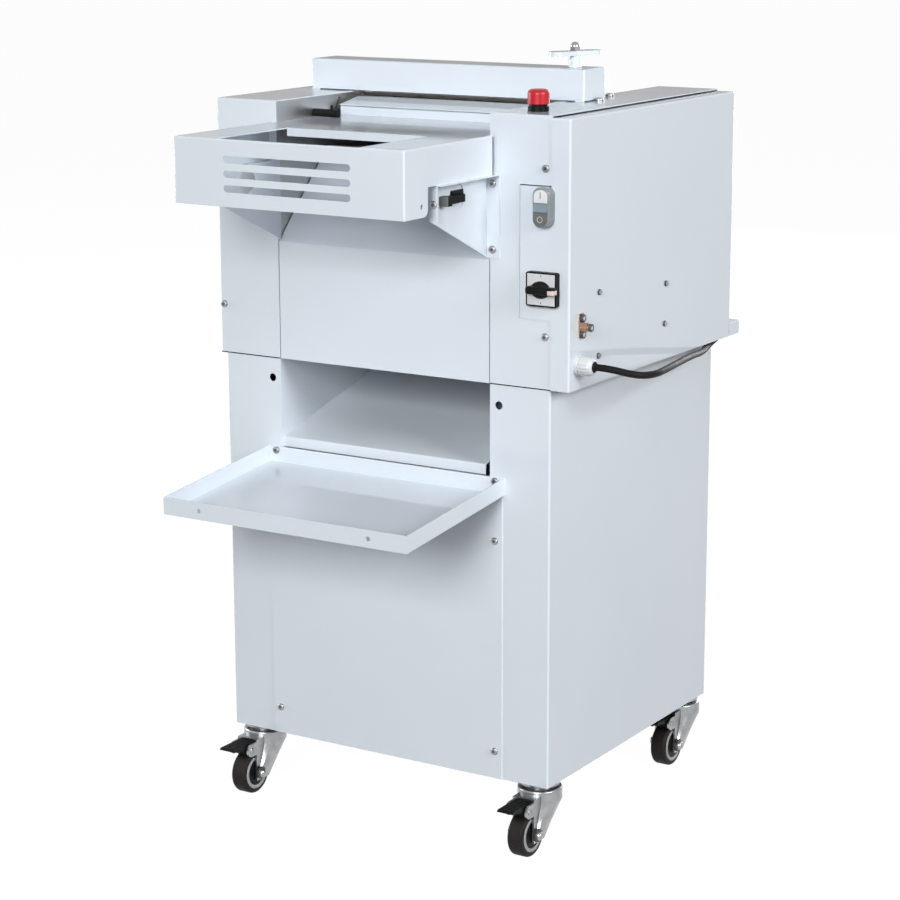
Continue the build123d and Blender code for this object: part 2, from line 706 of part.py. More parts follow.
def back_cover():
    """Back sheet that leans forward over the belt, with the ledge along its foot."""
    half = OPENING_HALF
    path = [BACK_COVER_FRONT, (HEAD_DEPTH, BACK_COVER_BEND), (HEAD_DEPTH, BASE_TOP)]
    cover = along_x(folded(path, SHEET), -half, half)
    ledge = bent_block(
        HEAD_LEFT, HEAD_RIGHT, HEAD_DEPTH, LEDGE_BACK, BASE_TOP, LEDGE_TOP,
        lambda middle: middle.Z < BASE_TOP + SHEET or middle.Y < HEAD_DEPTH + SHEET)
    ledge -= block(
        HEAD_LEFT + SHEET, HEAD_RIGHT - SHEET, HEAD_DEPTH, LEDGE_BACK - SHEET, BASE_TOP, LEDGE_TOP - SHEET)
    return cover + ledge


# Beam, rolls and spindle

def beam_cover():
    """Channel over the upper roll, standing on four tabs, with two guide studs inside."""
    foot = HEAD_TOP + BEAM_GAP
    beam = bent_block(
        BEAM_LEFT, BEAM_RIGHT, BEAM_FRONT, BEAM_BACK, foot, BEAM_TOP, lambda middle: middle.Z < foot + SHEET)
    beam -= block(
        BEAM_LEFT + SHEET, BEAM_RIGHT - SHEET, BEAM_FRONT + SHEET, BEAM_BACK - SHEET, foot, BEAM_TOP - SHEET)
    for x in (BEAM_LEFT, BEAM_RIGHT - BEAM_TAB):
        for y in (BEAM_FRONT, BEAM_BACK - SHEET):
            beam += block(x, x + BEAM_TAB, y, y + SHEET, HEAD_TOP, foot)
    for x in GUIDE_X:
        beam += rod_z(GUIDE_RADIUS, foot, BEAM_TOP - SHEET, x, ROLL_Y)
    return beam - rod_z(SPINDLE_RADIUS + CLEAR, BEAM_TOP - SHEET, BEAM_TOP, SPINDLE_X, ROLL_Y)


def sprocket(y, z):
    """Toothed wheel for the chain, on the shaft at (y, z)."""
    x0 = CHAIN_X - SPROCKET_WIDTH / 2
    x1 = CHAIN_X + SPROCKET_WIDTH / 2
    wheel = Circle(SPROCKET_RADIUS) - Circle(SHAFT_RADIUS)
    wheel -= PolarLocations(SPROCKET_RADIUS, SPROCKET_TEETH) * Circle(TOOTH_GAP_RADIUS)
    return along_x(Pos(y, z) * wheel, x0, x1)


def lower_roll():
    roll = rod_x(LOWER_ROLL_RADIUS, -ROLL_HALF, ROLL_HALF, ROLL_Y, LOWER_ROLL_Z)
    shaft = rod_x(SHAFT_RADIUS, SHAFT_LEFT_END, PLATE_OUTER + BEARING_DEPTH, ROLL_Y, LOWER_ROLL_Z)
    return [roll + shaft, sprocket(ROLL_Y, LOWER_ROLL_Z)]


def upper_roll():
    roll = rod_x(UPPER_ROLL_RADIUS, -ROLL_HALF, ROLL_HALF, ROLL_Y, UPPER_ROLL_Z)
    return roll + rod_x(JOURNAL_RADIUS, -YOKE_BLOCK[1], YOKE_BLOCK[1], ROLL_Y, UPPER_ROLL_Z)


def roll_yoke():
    """Bar over the upper roll with a bearing block at each end, sliding on the guide studs."""
    front = ROLL_Y - YOKE_WIDTH / 2
    back = ROLL_Y + YOKE_WIDTH / 2
    inner, outer = YOKE_BLOCK
    yoke = block(*YOKE_BAR_ENDS, front, back, YOKE_BAR_BOTTOM, YOKE_BAR_BOTTOM + YOKE_BAR)
    for x in (-outer, inner):
        yoke += block(x, x + outer - inner, front, back, YOKE_BLOCK_FOOT, YOKE_BAR_BOTTOM)
    yoke -= rod_x(JOURNAL_RADIUS + RUNNING, -outer, outer, ROLL_Y, UPPER_ROLL_Z)
    for x in GUIDE_X:
        yoke -= rod_z(GUIDE_RADIUS + RUNNING, HEAD_TOP, BEAM_TOP, x, ROLL_Y)
    return yoke - rod_z(SPINDLE_RADIUS + RUNNING, SPINDLE_FOOT - SPINDLE_WELL, BEAM_TOP, SPINDLE_X, ROLL_Y)


def handwheel():
    """Two-lobed handle on its spindle, with the nut that holds it."""
    place = Pos(SPINDLE_X, ROLL_Y, 0)
    stem_foot = BEAM_TOP + CLEAR
    collar_top = BEAM_TOP - SHEET - CLEAR
    spindle = rod_z(SPINDLE_RADIUS, SPINDLE_FOOT, HANDLE_BOTTOM, 0, 0)
    spindle += rod_z(COLLAR_RADIUS, collar_top - COLLAR_HEIGHT, collar_top, 0, 0)
    spindle += rod_z(STEM_RADIUS, stem_foot, HANDLE_BOTTOM, 0, 0)
    lobe = HANDLE_HALF - HANDLE_LOBE
    flat = around((0, 0), HANDLE_WAIST, (lobe, 0), HANDLE_LOBE)
    flat += around((0, 0), HANDLE_WAIST, (-lobe, 0), HANDLE_LOBE)
    handle = Rot(0, 0, HANDLE_TURN) * along_z(flat, HANDLE_BOTTOM, HANDLE_BOTTOM + HANDLE_THICKNESS)
    nut_foot = HANDLE_BOTTOM + HANDLE_THICKNESS
    nut = along_z(RegularPolygon(NUT_RADIUS, 6), nut_foot, nut_foot + NUT_HEIGHT)
    dome = Pos(0, 0, nut_foot + NUT_HEIGHT) * Sphere(NUT_RADIUS * math.cos(math.pi / 6))
    dome -= rod_z(NUT_RADIUS, nut_foot - NUT_HEIGHT, nut_foot + NUT_HEIGHT, 0, 0)
    return [place * spindle, place * handle, place * (nut + dome)]


# Infeed

def infeed_table():
    """Flat table with hanging skirts; a cut-out opens its front behind the slotted skirt."""
    under = TABLE_TOP - SHEET
    table = bent_block(
        -TABLE_HALF, TABLE_HALF, TABLE_FRONT, TABLE_BACK_OF_SKIRT, SKIRT_BOTTOM, TABLE_TOP,
        lambda middle: middle.Z < SKIRT_BOTTOM + SHEET or middle.Y > TABLE_BACK_OF_SKIRT - SHEET)
    table -= block(
        SHEET - TABLE_HALF, TABLE_HALF - SHEET, TABLE_FRONT + SHEET, TABLE_BACK_OF_SKIRT, SKIRT_BOTTOM, under)
    side = outline([
        (TABLE_FRONT, SKIRT_BOTTOM), (NOTCH_Y, SKIRT_BOTTOM), (NOTCH_Y, NOTCH_Z),
        (TABLE_BACK_OF_SKIRT, NOTCH_Z), (TABLE_BACK_OF_SKIRT, TABLE_TOP), (TABLE_FRONT, TABLE_TOP)])
    side = fillet(vertices_at(side, (NOTCH_Y, SKIRT_BOTTOM)), NOTCH_CORNER)
    side -= Pos(*SKIRT_HOLE) * Circle(SKIRT_HOLE_RADIUS)
    table &= along_x(side, -TABLE_HALF, TABLE_HALF)
    table += block(-TABLE_INNER_HALF, TABLE_INNER_HALF, TABLE_BACK_OF_SKIRT, TABLE_BACK, under, TABLE_TOP)
    table -= block(-CUTOUT_HALF, CUTOUT_HALF, TABLE_FRONT + SHEET, CUTOUT_BACK, under, TABLE_TOP)
    table += block(-CUTOUT_HALF, CUTOUT_HALF, CUTOUT_BACK, CUTOUT_BACK + SHEET, TABLE_TOP - CUTOUT_LIP, under)
    for z in SLOT_Z:
        slot = Pos(0, z) * SlotOverall(2 * SLOT_HALF, 2 * SLOT_RADIUS)
        table -= along_y(slot, TABLE_FRONT, TABLE_FRONT + SHEET)
    return table


def infeed_brackets():
    """Side plates that carry the table, each with a lip on top and front and a flange on the column."""
    inner = BRACKET_X
    outer = BRACKET_X + SHEET + BRACKET_FLANGE
    front = -BRACKET_REACH
    plate = outline([(0, NOTCH_Z), (front, NOTCH_Z), (front, BRACKET_FRONT_FOOT), (0, BRACKET_FOOT)])
    plate -= Pos(*BRACKET_HOLE) * Circle(BRACKET_HOLE_RADIUS)
    bracket = along_x(plate, inner, inner + SHEET)
    bracket += block(inner, outer, front, 0, NOTCH_Z - SHEET, NOTCH_Z)
    bracket += block(inner, inner + BRACKET_LIP, front, front + SHEET, BRACKET_FRONT_FOOT, NOTCH_Z)
    bracket += block(inner, outer, -SHEET, 0, BRACKET_FOOT, NOTCH_Z)
    return [drilled(side) for side in both_sides(bracket)]


def interlock_switch():
    """Catch through the bracket's hole: a body, an arm along the outer side and a thicker end."""
    face = BRACKET_X + SHEET
    switch = block(face + CATCH_BODY[0], face + CATCH_BODY[1], *CATCH_BODY[2:])
    for x0, x1, y0, y1, z0, z1 in (CATCH_ARM, CATCH_END):
        switch += fillet(block(face + x0, face + x1, y0, y1, z0, z1).edges(), CATCH_EDGE)
    thickness, radius = CATCH_FLANGE
    return switch + rod_x(radius, BRACKET_X - thickness, BRACKET_X, *BRACKET_HOLE)


def feed_ramp():
    """Riser on the table, and above a narrow gap the ramp that leads into the mouth."""
    ramp = along_x(folded([RAMP_NOSE, RAMP_END], SHEET), RAMP_LEFT, OPENING_HALF)
    rise = (RAMP_END[1] - RAMP_NOSE[1]) / (RAMP_END[0] - RAMP_NOSE[0])
    under = RAMP_NOSE[1] + rise * (RISER_FOLD - RAMP_NOSE[0])
    path = [(RISER_Y - SHEET, TABLE_TOP), (RISER_Y - SHEET, RISER_TOP), (RISER_FOLD, RISER_TOP)]
    riser = along_x(folded(path, SHEET), RAMP_LEFT, OPENING_HALF)
    web = block(RAMP_LEFT, OPENING_HALF, RISER_FOLD - SHEET, RISER_FOLD, RISER_TOP - SHEET, under - SHEET / 2)
    return ramp + riser + web


def stop_bar():
    bar = rod_x(STOP_BAR_RADIUS, -OPENING_HALF, STOP_BAR_END, STOP_BAR_Y, TABLE_TOP + STOP_BAR_RADIUS + CLEAR)
    inset, radius, height = STOP_PIN
    top = TABLE_TOP + 2 * STOP_BAR_RADIUS + CLEAR
    return bar + rod_z(radius, top - STOP_BAR_RADIUS, top + height, STOP_BAR_END - inset, STOP_BAR_Y)


# Moulding belt and drive

def idler_drum():
    end = PLATE_OUTER + BEARING_DEPTH
    drum = rod_x(DRUM_RADIUS, -DRUM_HALF, DRUM_HALF, IDLER_DRUM_Y, DRUM_Z)
    return drum + rod_x(SHAFT_RADIUS, -end, end, IDLER_DRUM_Y, DRUM_Z)


def pulley(radius, shaft_radius, y, z):
    """Grooved belt wheel on the shaft at (y, z)."""
    half = PULLEY_WIDTH / 2
    wheel = rod_x(radius, PULLEY_X - half, PULLEY_X + half, y, z)
    groove = rod_x(radius, PULLEY_X - GROOVE_WIDTH / 2, PULLEY_X + GROOVE_WIDTH / 2, y, z)
    groove -= rod_x(radius - GROOVE_DEPTH, PULLEY_X - half, PULLEY_X + half, y, z)
    return wheel - groove - rod_x(shaft_radius, PULLEY_X - half, PULLEY_X + half, y, z)


def drive_drum():
    drum = rod_x(DRUM_RADIUS, -DRUM_HALF, DRUM_HALF, DRIVE_DRUM_Y, DRUM_Z)
    drum += rod_x(SHAFT_RADIUS, SHAFT_LEFT_END, DRUM_SHAFT_END, DRIVE_DRUM_Y, DRUM_Z)
    wheel = pulley(DRUM_PULLEY_RADIUS, SHAFT_RADIUS, DRIVE_DRUM_Y, DRUM_Z)
    return [drum, wheel, sprocket(DRIVE_DRUM_Y, DRUM_Z)]


def moulding_belt():
    return band(
        (DRIVE_DRUM_Y, DRUM_Z), BELT_INNER, (IDLER_DRUM_Y, DRUM_Z), BELT_INNER, BELT_THICKNESS,
        -BELT_HALF, BELT_HALF)


def pressure_board():
    """Flat board under the belt that turns up round the back drum."""
    half = OPENING_HALF
    top = DRUM_Z - BOARD_RADIUS
    bend = Circle(BOARD_RADIUS + BOARD_THICKNESS) - Circle(BOARD_RADIUS)
    size = 2 * (BOARD_RADIUS + BOARD_THICKNESS)
    quarter = Pos(IDLER_DRUM_Y, DRUM_Z) * (bend & (Pos(size / 2, -size / 2) * Rectangle(size, size)))
    back = IDLER_DRUM_Y + BOARD_RADIUS
    board = along_x(quarter, -half, half)
    board += block(-half, half, BOARD_FRONT, IDLER_DRUM_Y, top - BOARD_THICKNESS, top)
    return board + block(-half, half, back, back + BOARD_THICKNESS, DRUM_Z, BOARD_TOP)


def bearings():
    """Flange bearings on the outer sides of the frame plates."""
    half = BEARING_FLANGE / 2
    solids = []
    for y, z in SHAFTS:
        housing = block(
            PLATE_OUTER, PLATE_OUTER + BEARING_FLANGE_DEPTH, y - half, y + half, z - half, z + half)
        housing += rod_x(BEARING_BOSS_RADIUS, PLATE_OUTER, PLATE_OUTER + BEARING_DEPTH, y, z)
        housing -= rod_x(SHAFT_RADIUS + RUNNING, PLATE_OUTER, PLATE_OUTER + BEARING_DEPTH, y, z)
        solids += both_sides(housing)
    return solids


def drive_chain():
    inner = SPROCKET_RADIUS + BELT_GAP
    half = CHAIN_WIDTH / 2
    return band(
        (DRIVE_DRUM_Y, DRUM_Z), inner, (ROLL_Y, LOWER_ROLL_Z), inner, CHAIN_THICKNESS,
        CHAIN_X - half, CHAIN_X + half)


def motor():
    """Round motor on a pedestal and foot, with a terminal box on top and a bore for its shaft."""
    floor = BASE_BOTTOM + FLOOR_SHEET
    middle = sum(MOTOR_X) / 2
    body = rod_x(MOTOR_RADIUS, *MOTOR_X, MOTOR_Y, MOTOR_Z)
    body += rod_x(MOTOR_NOSE[0], MOTOR_FRONT, MOTOR_NOSE_END, MOTOR_Y, MOTOR_Z)
    foot, box = MOTOR_FOOT, MOTOR_BOX
    for (length, width), z0, z1 in (
            (foot[:2], floor, floor + foot[2]),
            (MOTOR_PEDESTAL, floor, MOTOR_Z - MOTOR_RADIUS / 2),
            (box[:2], MOTOR_Z, MOTOR_Z + box[2])):
        body += block(
            middle - length / 2, middle + length / 2, MOTOR_Y - width / 2, MOTOR_Y + width / 2, z0, z1)
    return body - rod_x(
        MOTOR_SHAFT_RADIUS + RUNNING, MOTOR_FRONT - MOTOR_SHAFT_IN, MOTOR_NOSE_END, MOTOR_Y, MOTOR_Z)


def motor_pulley():
    shaft_end = PULLEY_X + PULLEY_WIDTH / 2
    shaft_start = MOTOR_FRONT - MOTOR_SHAFT_IN + CLEAR
    shaft = rod_x(MOTOR_SHAFT_RADIUS, shaft_start, shaft_end, MOTOR_Y, MOTOR_Z)
    return shaft + pulley(MOTOR_PULLEY_RADIUS, MOTOR_SHAFT_RADIUS, MOTOR_Y, MOTOR_Z)


def drive_belt():
    seat = GROOVE_DEPTH - BELT_GAP
    return band(
        (MOTOR_Y, MOTOR_Z), MOTOR_PULLEY_RADIUS - seat, (DRIVE_DRUM_Y, DRUM_Z), DRUM_PULLEY_RADIUS - seat,
        GROOVE_DEPTH, PULLEY_X - DRIVE_BELT_WIDTH / 2, PULLEY_X + DRIVE_BELT_WIDTH / 2)


# Switches

def estop_base():
    collar_top = HEAD_TOP + ESTOP_COLLAR
    base = rod_z(ESTOP_COLLAR_RADIUS, HEAD_TOP, collar_top, ESTOP_X, ESTOP_Y)
    base += rod_z(ESTOP_BARREL_RADIUS, HEAD_TOP - ESTOP_BARREL, HEAD_TOP, ESTOP_X, ESTOP_Y)
    return base - rod_z(ESTOP_STEM_RADIUS + ESTOP_STEM_CLEAR, HEAD_TOP + SHEET, collar_top, ESTOP_X, ESTOP_Y)


def estop_button():
    collar_top = HEAD_TOP + ESTOP_COLLAR
    head_foot = collar_top + ESTOP_GAP
    head = rod_z(ESTOP_HEAD_RADIUS, head_foot, head_foot + ESTOP_HEAD, ESTOP_X, ESTOP_Y)
    head = fillet(head.edges().group_by(Axis.Z)[-1], ESTOP_HEAD / 3)
    return head + rod_z(ESTOP_STEM_RADIUS, collar_top - ESTOP_STEM_ENTRY, head_foot, ESTOP_X, ESTOP_Y)


def button_face(side, grow):
    """Upper (side 1) or lower (side -1) part of the oblong that the two buttons share."""
    width, height, corner = BUTTON_FACE
    oblong = RectangleRounded(width + 2 * grow, height + 2 * grow, corner + grow)
    top = height / 2 + grow
    foot = LENS_HEIGHT / 2 - grow
    half = Pos(0, side * (top + foot) / 2) * Rectangle(width + 2 * grow, top - foot)
    return Pos(BUTTON_X, BUTTON_Z) * (oblong & half)


def button_housing():
    """Oblong housing with a well for each button and a raised lens between them."""
    width, height, depth = BUTTON_BODY
    front = -SHEET - BUTTON_HOUSING_DEPTH
    housing = along_y(Pos(BUTTON_X, BUTTON_Z) * RectangleRounded(*BUTTON_HOUSING), front, -SHEET)
    housing = fillet(housing.edges().group_by(Axis.Y)[0], BUTTON_HOUSING_EDGE)
    housing += block(
        BUTTON_X - width / 2, BUTTON_X + width / 2, -SHEET, depth,
        BUTTON_Z - height / 2, BUTTON_Z + height / 2)
    lens = Pos(BUTTON_X, BUTTON_Z) * Rectangle(BUTTON_FACE[0], LENS_HEIGHT - 4 * CLEAR)
    housing += along_y(lens, front - LENS_PROUD, front)
    for side in (-1, 1):
        housing -= along_y(button_face(side, CLEAR), front - LENS_PROUD, front + BUTTON_WELL)
    return housing


def push_button(side, proud):
    front = -SHEET - BUTTON_HOUSING_DEPTH - proud
    cap = along_y(button_face(side, 0), front, front + BUTTON_LENGTH)
    return fillet(cap.edges().group_by(Axis.Y)[0], SHEET / 2)


def start_button():
    return push_button(1, START_PROUD)


def stop_button():
    return push_button(-1, STOP_PROUD)


def switch_plate():
    body, depth = ROTARY_BODY
    plate = Pos(ROTARY_X, ROTARY_Z) * RectangleRounded(ROTARY_PLATE, ROTARY_PLATE, 2 * SHEET)
    front = -SHEET - ROTARY_PLATE_DEPTH
    switch = along_y(plate, front, -SHEET)
    switch += block(
        ROTARY_X - body / 2, ROTARY_X + body / 2, -SHEET, depth, ROTARY_Z - body / 2, ROTARY_Z + body / 2)
    return switch - rod_y(KNOB_SHAFT_RADIUS + ESTOP_STEM_CLEAR, front, KNOB_SHAFT, ROTARY_X, ROTARY_Z)


def switch_knob():
    length, width, depth = KNOB_HANDLE
    back = -SHEET - ROTARY_PLATE_DEPTH - CLEAR
    front = back - KNOB_DISC
    knob = rod_y(KNOB_RADIUS, front, back, ROTARY_X, ROTARY_Z)
    grip = Pos(ROTARY_X, ROTARY_Z) * RectangleRounded(length, width, width / 2 - SHEET)
    knob += along_y(grip, front - depth, front)
    return knob + rod_y(KNOB_SHAFT_RADIUS, back, back + KNOB_SHAFT, ROTARY_X, ROTARY_Z)


def control_panel():
    """Mounting plate on the inside of the right cover, with the contactor on it."""
    inner = HEAD_RIGHT - SHEET
    plate = block(inner - PANEL_SHEET, inner, *PANEL_Y, *PANEL_Z)
    for y, z in SIDE_BOLTS:
        plate -= rod_x(BOLT_RADIUS + CLEAR, inner - PANEL_SHEET, inner, y, z)
    contactor = block(inner - CONTACTOR_DEPTH, inner - PANEL_SHEET, *CONTACTOR)
    return [plate, contactor]


def earth_terminal():
    """Brass plate held by two bolts, with a clamping nut on a stud."""
    half = TERMINAL_WIDTH / 2
    seat = HEAD_RIGHT + TERMINAL_PLATE
    plate = block(HEAD_RIGHT, seat, TERMINAL_Y - half, TERMINAL_Y + half, *TERMINAL_Z)
    nut = Pos(TERMINAL_Y, TERMINAL_STUD_Z) * RegularPolygon(TERMINAL_NUT_RADIUS, 6)
    nut_end = HEAD_RIGHT + TERMINAL_NUT_END
    clamp = plate + along_x(nut, seat, nut_end)
    stud = rod_x(TERMINAL_STUD_RADIUS, nut_end, HEAD_RIGHT + TERMINAL_REACH, TERMINAL_Y, TERMINAL_STUD_Z)
    radius, height = TERMINAL_BOLT
    heads = [rod_x(radius, seat, seat + height, TERMINAL_Y, z) for z in TERMINAL_BOLT_Z]
    return [clamp, stud] + heads


def side_bolts():
    bolts = []
    for y, z in SIDE_BOLTS:
        head = rod_x(BOLT_HEAD_RADIUS, HEAD_RIGHT, HEAD_RIGHT + BOLT_HEAD, y, z)
        head = fillet(head.edges().group_by(Axis.X)[-1], BOLT_HEAD / 4)
        bolts.append(head + rod_x(BOLT_RADIUS, HEAD_RIGHT - BOLT_LENGTH, HEAD_RIGHT, y, z))
    return bolts


# Casters, drawn round their swivel axis and then set under the corners

def caster_places():
    return {
        "front_left": Pos(-CASTER_X, CASTER_FRONT_Y, 0),
        "front_right": Pos(CASTER_X, CASTER_FRONT_Y, 0),
        "rear_left": Pos(-CASTER_X, CASTER_BACK_Y, 0),
        "rear_right": Pos(CASTER_X, CASTER_BACK_Y, 0),
    }


def caster_ring():
    foot = BASE_BOTTOM - CASTER_RING
    ring = rod_z(CASTER_RING_RADIUS, foot + CASTER_RING_BOSS, BASE_BOTTOM, 0, 0)
    ring = fillet(ring.edges().group_by(Axis.Z)[0], CASTER_RING / 3)
    ring += rod_z(CASTER_RING_BOSS_RADIUS, foot, foot + CASTER_RING_BOSS, 0, 0)
    ring -= rod_z(KINGPIN_RADIUS + RUNNING, foot, FORK_TOP + KINGPIN + CLEAR, 0, 0)
    return ring + rod_z(CASTER_STUD_RADIUS, BASE_BOTTOM, BASE_BOTTOM + CASTER_STUD, 0, 0)


def fork_form(inset, top):
    """Round crown that runs down into two legs at the axle, drawn in by the inset."""
    radius = FORK_CROWN_RADIUS - inset
    width = FORK_GAP + 2 * FORK_SHEET - 2 * inset
    length = FORK_CREASE - FORK_FRONT - 2 * inset
    foot = Pos(0, (FORK_FRONT + FORK_CREASE) / 2, FORK_FOOT) * Rectangle(width, length)
    legs = loft([foot, Pos(0, 0, FORK_SHOULDER) * Circle(radius)], ruled=True)
    return legs + rod_z(radius, FORK_SHOULDER, top, 0, 0)


def caster_fork():
    """Pressed fork open to the front, with kingpin, axle bolt, and ears that carry the pedal pin."""
    inner = FORK_GAP / 2
    outer = inner + FORK_SHEET
    under = FORK_TOP - FORK_CROWN
    fork = fork_form(0, FORK_TOP)
    fork = fillet(fork.edges().group_by(Axis.Z)[-1], FORK_SHEET) - fork_form(FORK_SHEET, under)
    ear = outline([
        (FORK_FRONT, FORK_VISOR), (FORK_FRONT, FORK_FOOT), (FORK_CREASE, FORK_FOOT), (FORK_CREASE, FORK_VISOR)])
    ear += make_hull([
        *(Pos(*PEDAL_PIVOT) * Circle(PEDAL_EAR_RADIUS)).edges(),
        *(Pos(FORK_FRONT + PEDAL_EAR_RADIUS, PEDAL_PIVOT[1]) * Circle(PEDAL_EAR_RADIUS)).edges()])
    fork += along_x(ear, inner, outer) + along_x(ear, -outer, -inner)
    fork += block(-outer, outer, FORK_FRONT, 0, FORK_VISOR, FORK_VISOR + FORK_SHEET)
    fork -= block(-inner, inner, FORK_FRONT - outer, FORK_CREASE, FORK_FOOT, FORK_VISOR)
    fork -= rod_x(WHEEL_RADIUS + WHEEL_CLEARANCE, -inner, inner, -CASTER_TRAIL, WHEEL_RADIUS)
    fork += rod_x(AXLE_RADIUS, -AXLE_HALF, AXLE_HALF, -CASTER_TRAIL, WHEEL_RADIUS)
    for x in (-AXLE_HALF, outer):
        fork += rod_x(AXLE_HEAD_RADIUS, x, x + AXLE_HALF - outer, -CASTER_TRAIL, WHEEL_RADIUS)
    fork += rod_z(KINGPIN_RADIUS, under, FORK_TOP + KINGPIN, 0, 0)
    return fork + rod_x(PEDAL_PIN_RADIUS, -outer, outer, *PEDAL_PIVOT)


def caster_wheel():
    half = WHEEL_WIDTH / 2
    tyre = rod_x(WHEEL_RADIUS, -half, half, -CASTER_TRAIL, WHEEL_RADIUS)
    tyre = fillet(tyre.edges(), WHEEL_WIDTH / 6)
    tyre -= rod_x(HUB_RADIUS, -half, half, -CASTER_TRAIL, WHEEL_RADIUS)
    hub = rod_x(HUB_RADIUS, -half, half, -CASTER_TRAIL, WHEEL_RADIUS)
    hub -= rod_x(AXLE_RADIUS + RUNNING, -half, half, -CASTER_TRAIL, WHEEL_RADIUS)
    return [tyre, hub]


def caster_pedal():
    pedal = along_x(outline(PEDAL_OUTLINE), -PEDAL_HALF, PEDAL_HALF)
    return pedal - rod_x(PEDAL_PIN_RADIUS + RUNNING, -PEDAL_HALF, PEDAL_HALF, *PEDAL_PIVOT)


def casters():
    pieces = {"caster_rings": [place * caster_ring() for place in caster_places().values()]}
    for corner, place in caster_places().items():
        pieces[corner + "_fork"] = [place * caster_fork()]
        pieces[corner + "_wheel"] = [place * solid for solid in caster_wheel()]
        pieces[corner + "_pedal"] = [place * caster_pedal()]
    return pieces


# Cord

def cable_gland():
    gland = rod_x(GLAND_NUT_RADIUS, HEAD_RIGHT, HEAD_RIGHT + GLAND_NUT, GLAND_Y, GLAND_Z)
    gland += rod_x(GLAND_TIP_RADIUS, HEAD_RIGHT, GLAND_TIP, GLAND_Y, GLAND_Z)
    return gland + rod_x(GLAND_THREAD_RADIUS, HEAD_RIGHT - SHEET, HEAD_RIGHT, GLAND_Y, GLAND_Z)


def cord_points():
    """Corners of the cord's way: gland, sag along the side, tuck under the cover, ledge, drop to the coil."""
    return [
        (GLAND_TIP, GLAND_Y, GLAND_Z),
        (GLAND_TIP + 25, GLAND_Y, GLAND_Z),
        (GLAND_TIP + 47, GLAND_Y + 10, GLAND_Z - 7),
        (GLAND_TIP + 62, GLAND_Y + 29, GLAND_Z - 12),
        (GLAND_TIP + 68, GLAND_Y + 54, GLAND_Z - 11),
        (GLAND_TIP + 64, GLAND_Y + 80, GLAND_Z - 12),
        (HEAD_RIGHT + 84, 141, 714),
        (HEAD_RIGHT + 70, 192, 710),
        (HEAD_RIGHT + 54, 250, 705),
        (HEAD_RIGHT + 35, 315, 698),
        (HEAD_RIGHT + 17, 375, 690),
        (HEAD_RIGHT + 1, 420, 685.5),
        (HEAD_RIGHT - 9, 455, 687),
        (HEAD_RIGHT - 9, 492, 696),
        (HEAD_RIGHT - 22.5, CORD_DROP_Y - 12, 701),
        (HEAD_RIGHT - 47, CORD_DROP_Y + 3, LEDGE_CORD_Z + 1),
        (HEAD_RIGHT - 76, CORD_DROP_Y + 5, LEDGE_CORD_Z + 1),
        (HEAD_RIGHT - 115, CORD_DROP_Y + 2, LEDGE_CORD_Z),
        (HEAD_RIGHT - 180, CORD_DROP_Y, LEDGE_CORD_Z),
        (CORD_DROP_X, CORD_DROP_Y + 1, LEDGE_CORD_Z),
        (CORD_DROP_X + 1, CORD_DROP_Y, 600),
        (CORD_DROP_X - 1, CORD_DROP_Y + 1, 460),
        (CORD_DROP_X + 1, CORD_DROP_Y - 1, 320),
        (CORD_DROP_X, CORD_DROP_Y, 190),
        (CORD_DROP_X, CORD_DROP_Y, COIL_START),
    ]


def bend_radius(before, corner, after):
    """Bend that leaves a short straight run on both sides of a corner."""
    arrive = Vector(corner) - Vector(before)
    leave = Vector(after) - Vector(corner)
    turn = math.radians(arrive.get_angle(leave))
    return 0.45 * min(arrive.length, leave.length) / math.tan(turn / 2)


def power_cord():
    points = cord_points()
    radii = [bend_radius(*points[i:i + 3]) for i in range(len(points) - 2)]
    path = FilletPolyline(*points, radius=radii)
    cord = sweep(Plane(origin=path @ 0, z_dir=path % 0) * Circle(CORD_RADIUS), path=path)
    print("cord bends:", [round(radius) for radius in radii], "length:", round(path.length))
    print("cord volume over section times length:", cord.volume / (math.pi * CORD_RADIUS ** 2 * path.length))
    return cord


def coil_turns():
    """Half turns of the coil as (start x, end x, radius, side), each one a step wider than the last."""
    turns = []
    x = CORD_DROP_X
    side = 1
    for index in range(COIL_HALF_TURNS):
        radius = COIL_INNER_RADIUS + index * COIL_STEP
        end = x - side * 2 * radius
        turns.append((x, end, radius, side))
        x = end
        side = -side
    return turns


def coil_y():
    return CORD_DROP_Y + COIL_BEND


def cord_coil():
    x, y, bend = CORD_DROP_X, CORD_DROP_Y, COIL_BEND
    knee = bend * math.sin(math.pi / 4)
    above = COIL_Z + bend
    edges = [
        Line((x, y, COIL_START), (x, y, above)),
        ThreePointArc((x, y, above), (x, y + bend - knee, above - knee), (x, y + bend, COIL_Z)),
    ]
    for start, end, radius, side in coil_turns():
        top = ((start + end) / 2, coil_y() + side * radius, COIL_Z)
        edges.append(ThreePointArc((start, coil_y(), COIL_Z), top, (end, coil_y(), COIL_Z)))
    last = coil_turns()[-1][1]
    edges.append(Line((last, coil_y(), COIL_Z), (last, coil_y() + COIL_TAIL, COIL_Z)))
    path = Wire(edges)
    coil = sweep(Plane(origin=(x, y, COIL_START), z_dir=(0, 0, -1)) * Circle(CORD_RADIUS), path=path)
    print("coil length:", round(path.length), "gap between turns:", 2 * COIL_STEP - 2 * CORD_RADIUS)
    print("coil volume over section times length:", coil.volume / (math.pi * CORD_RADIUS ** 2 * path.length))
    return coil


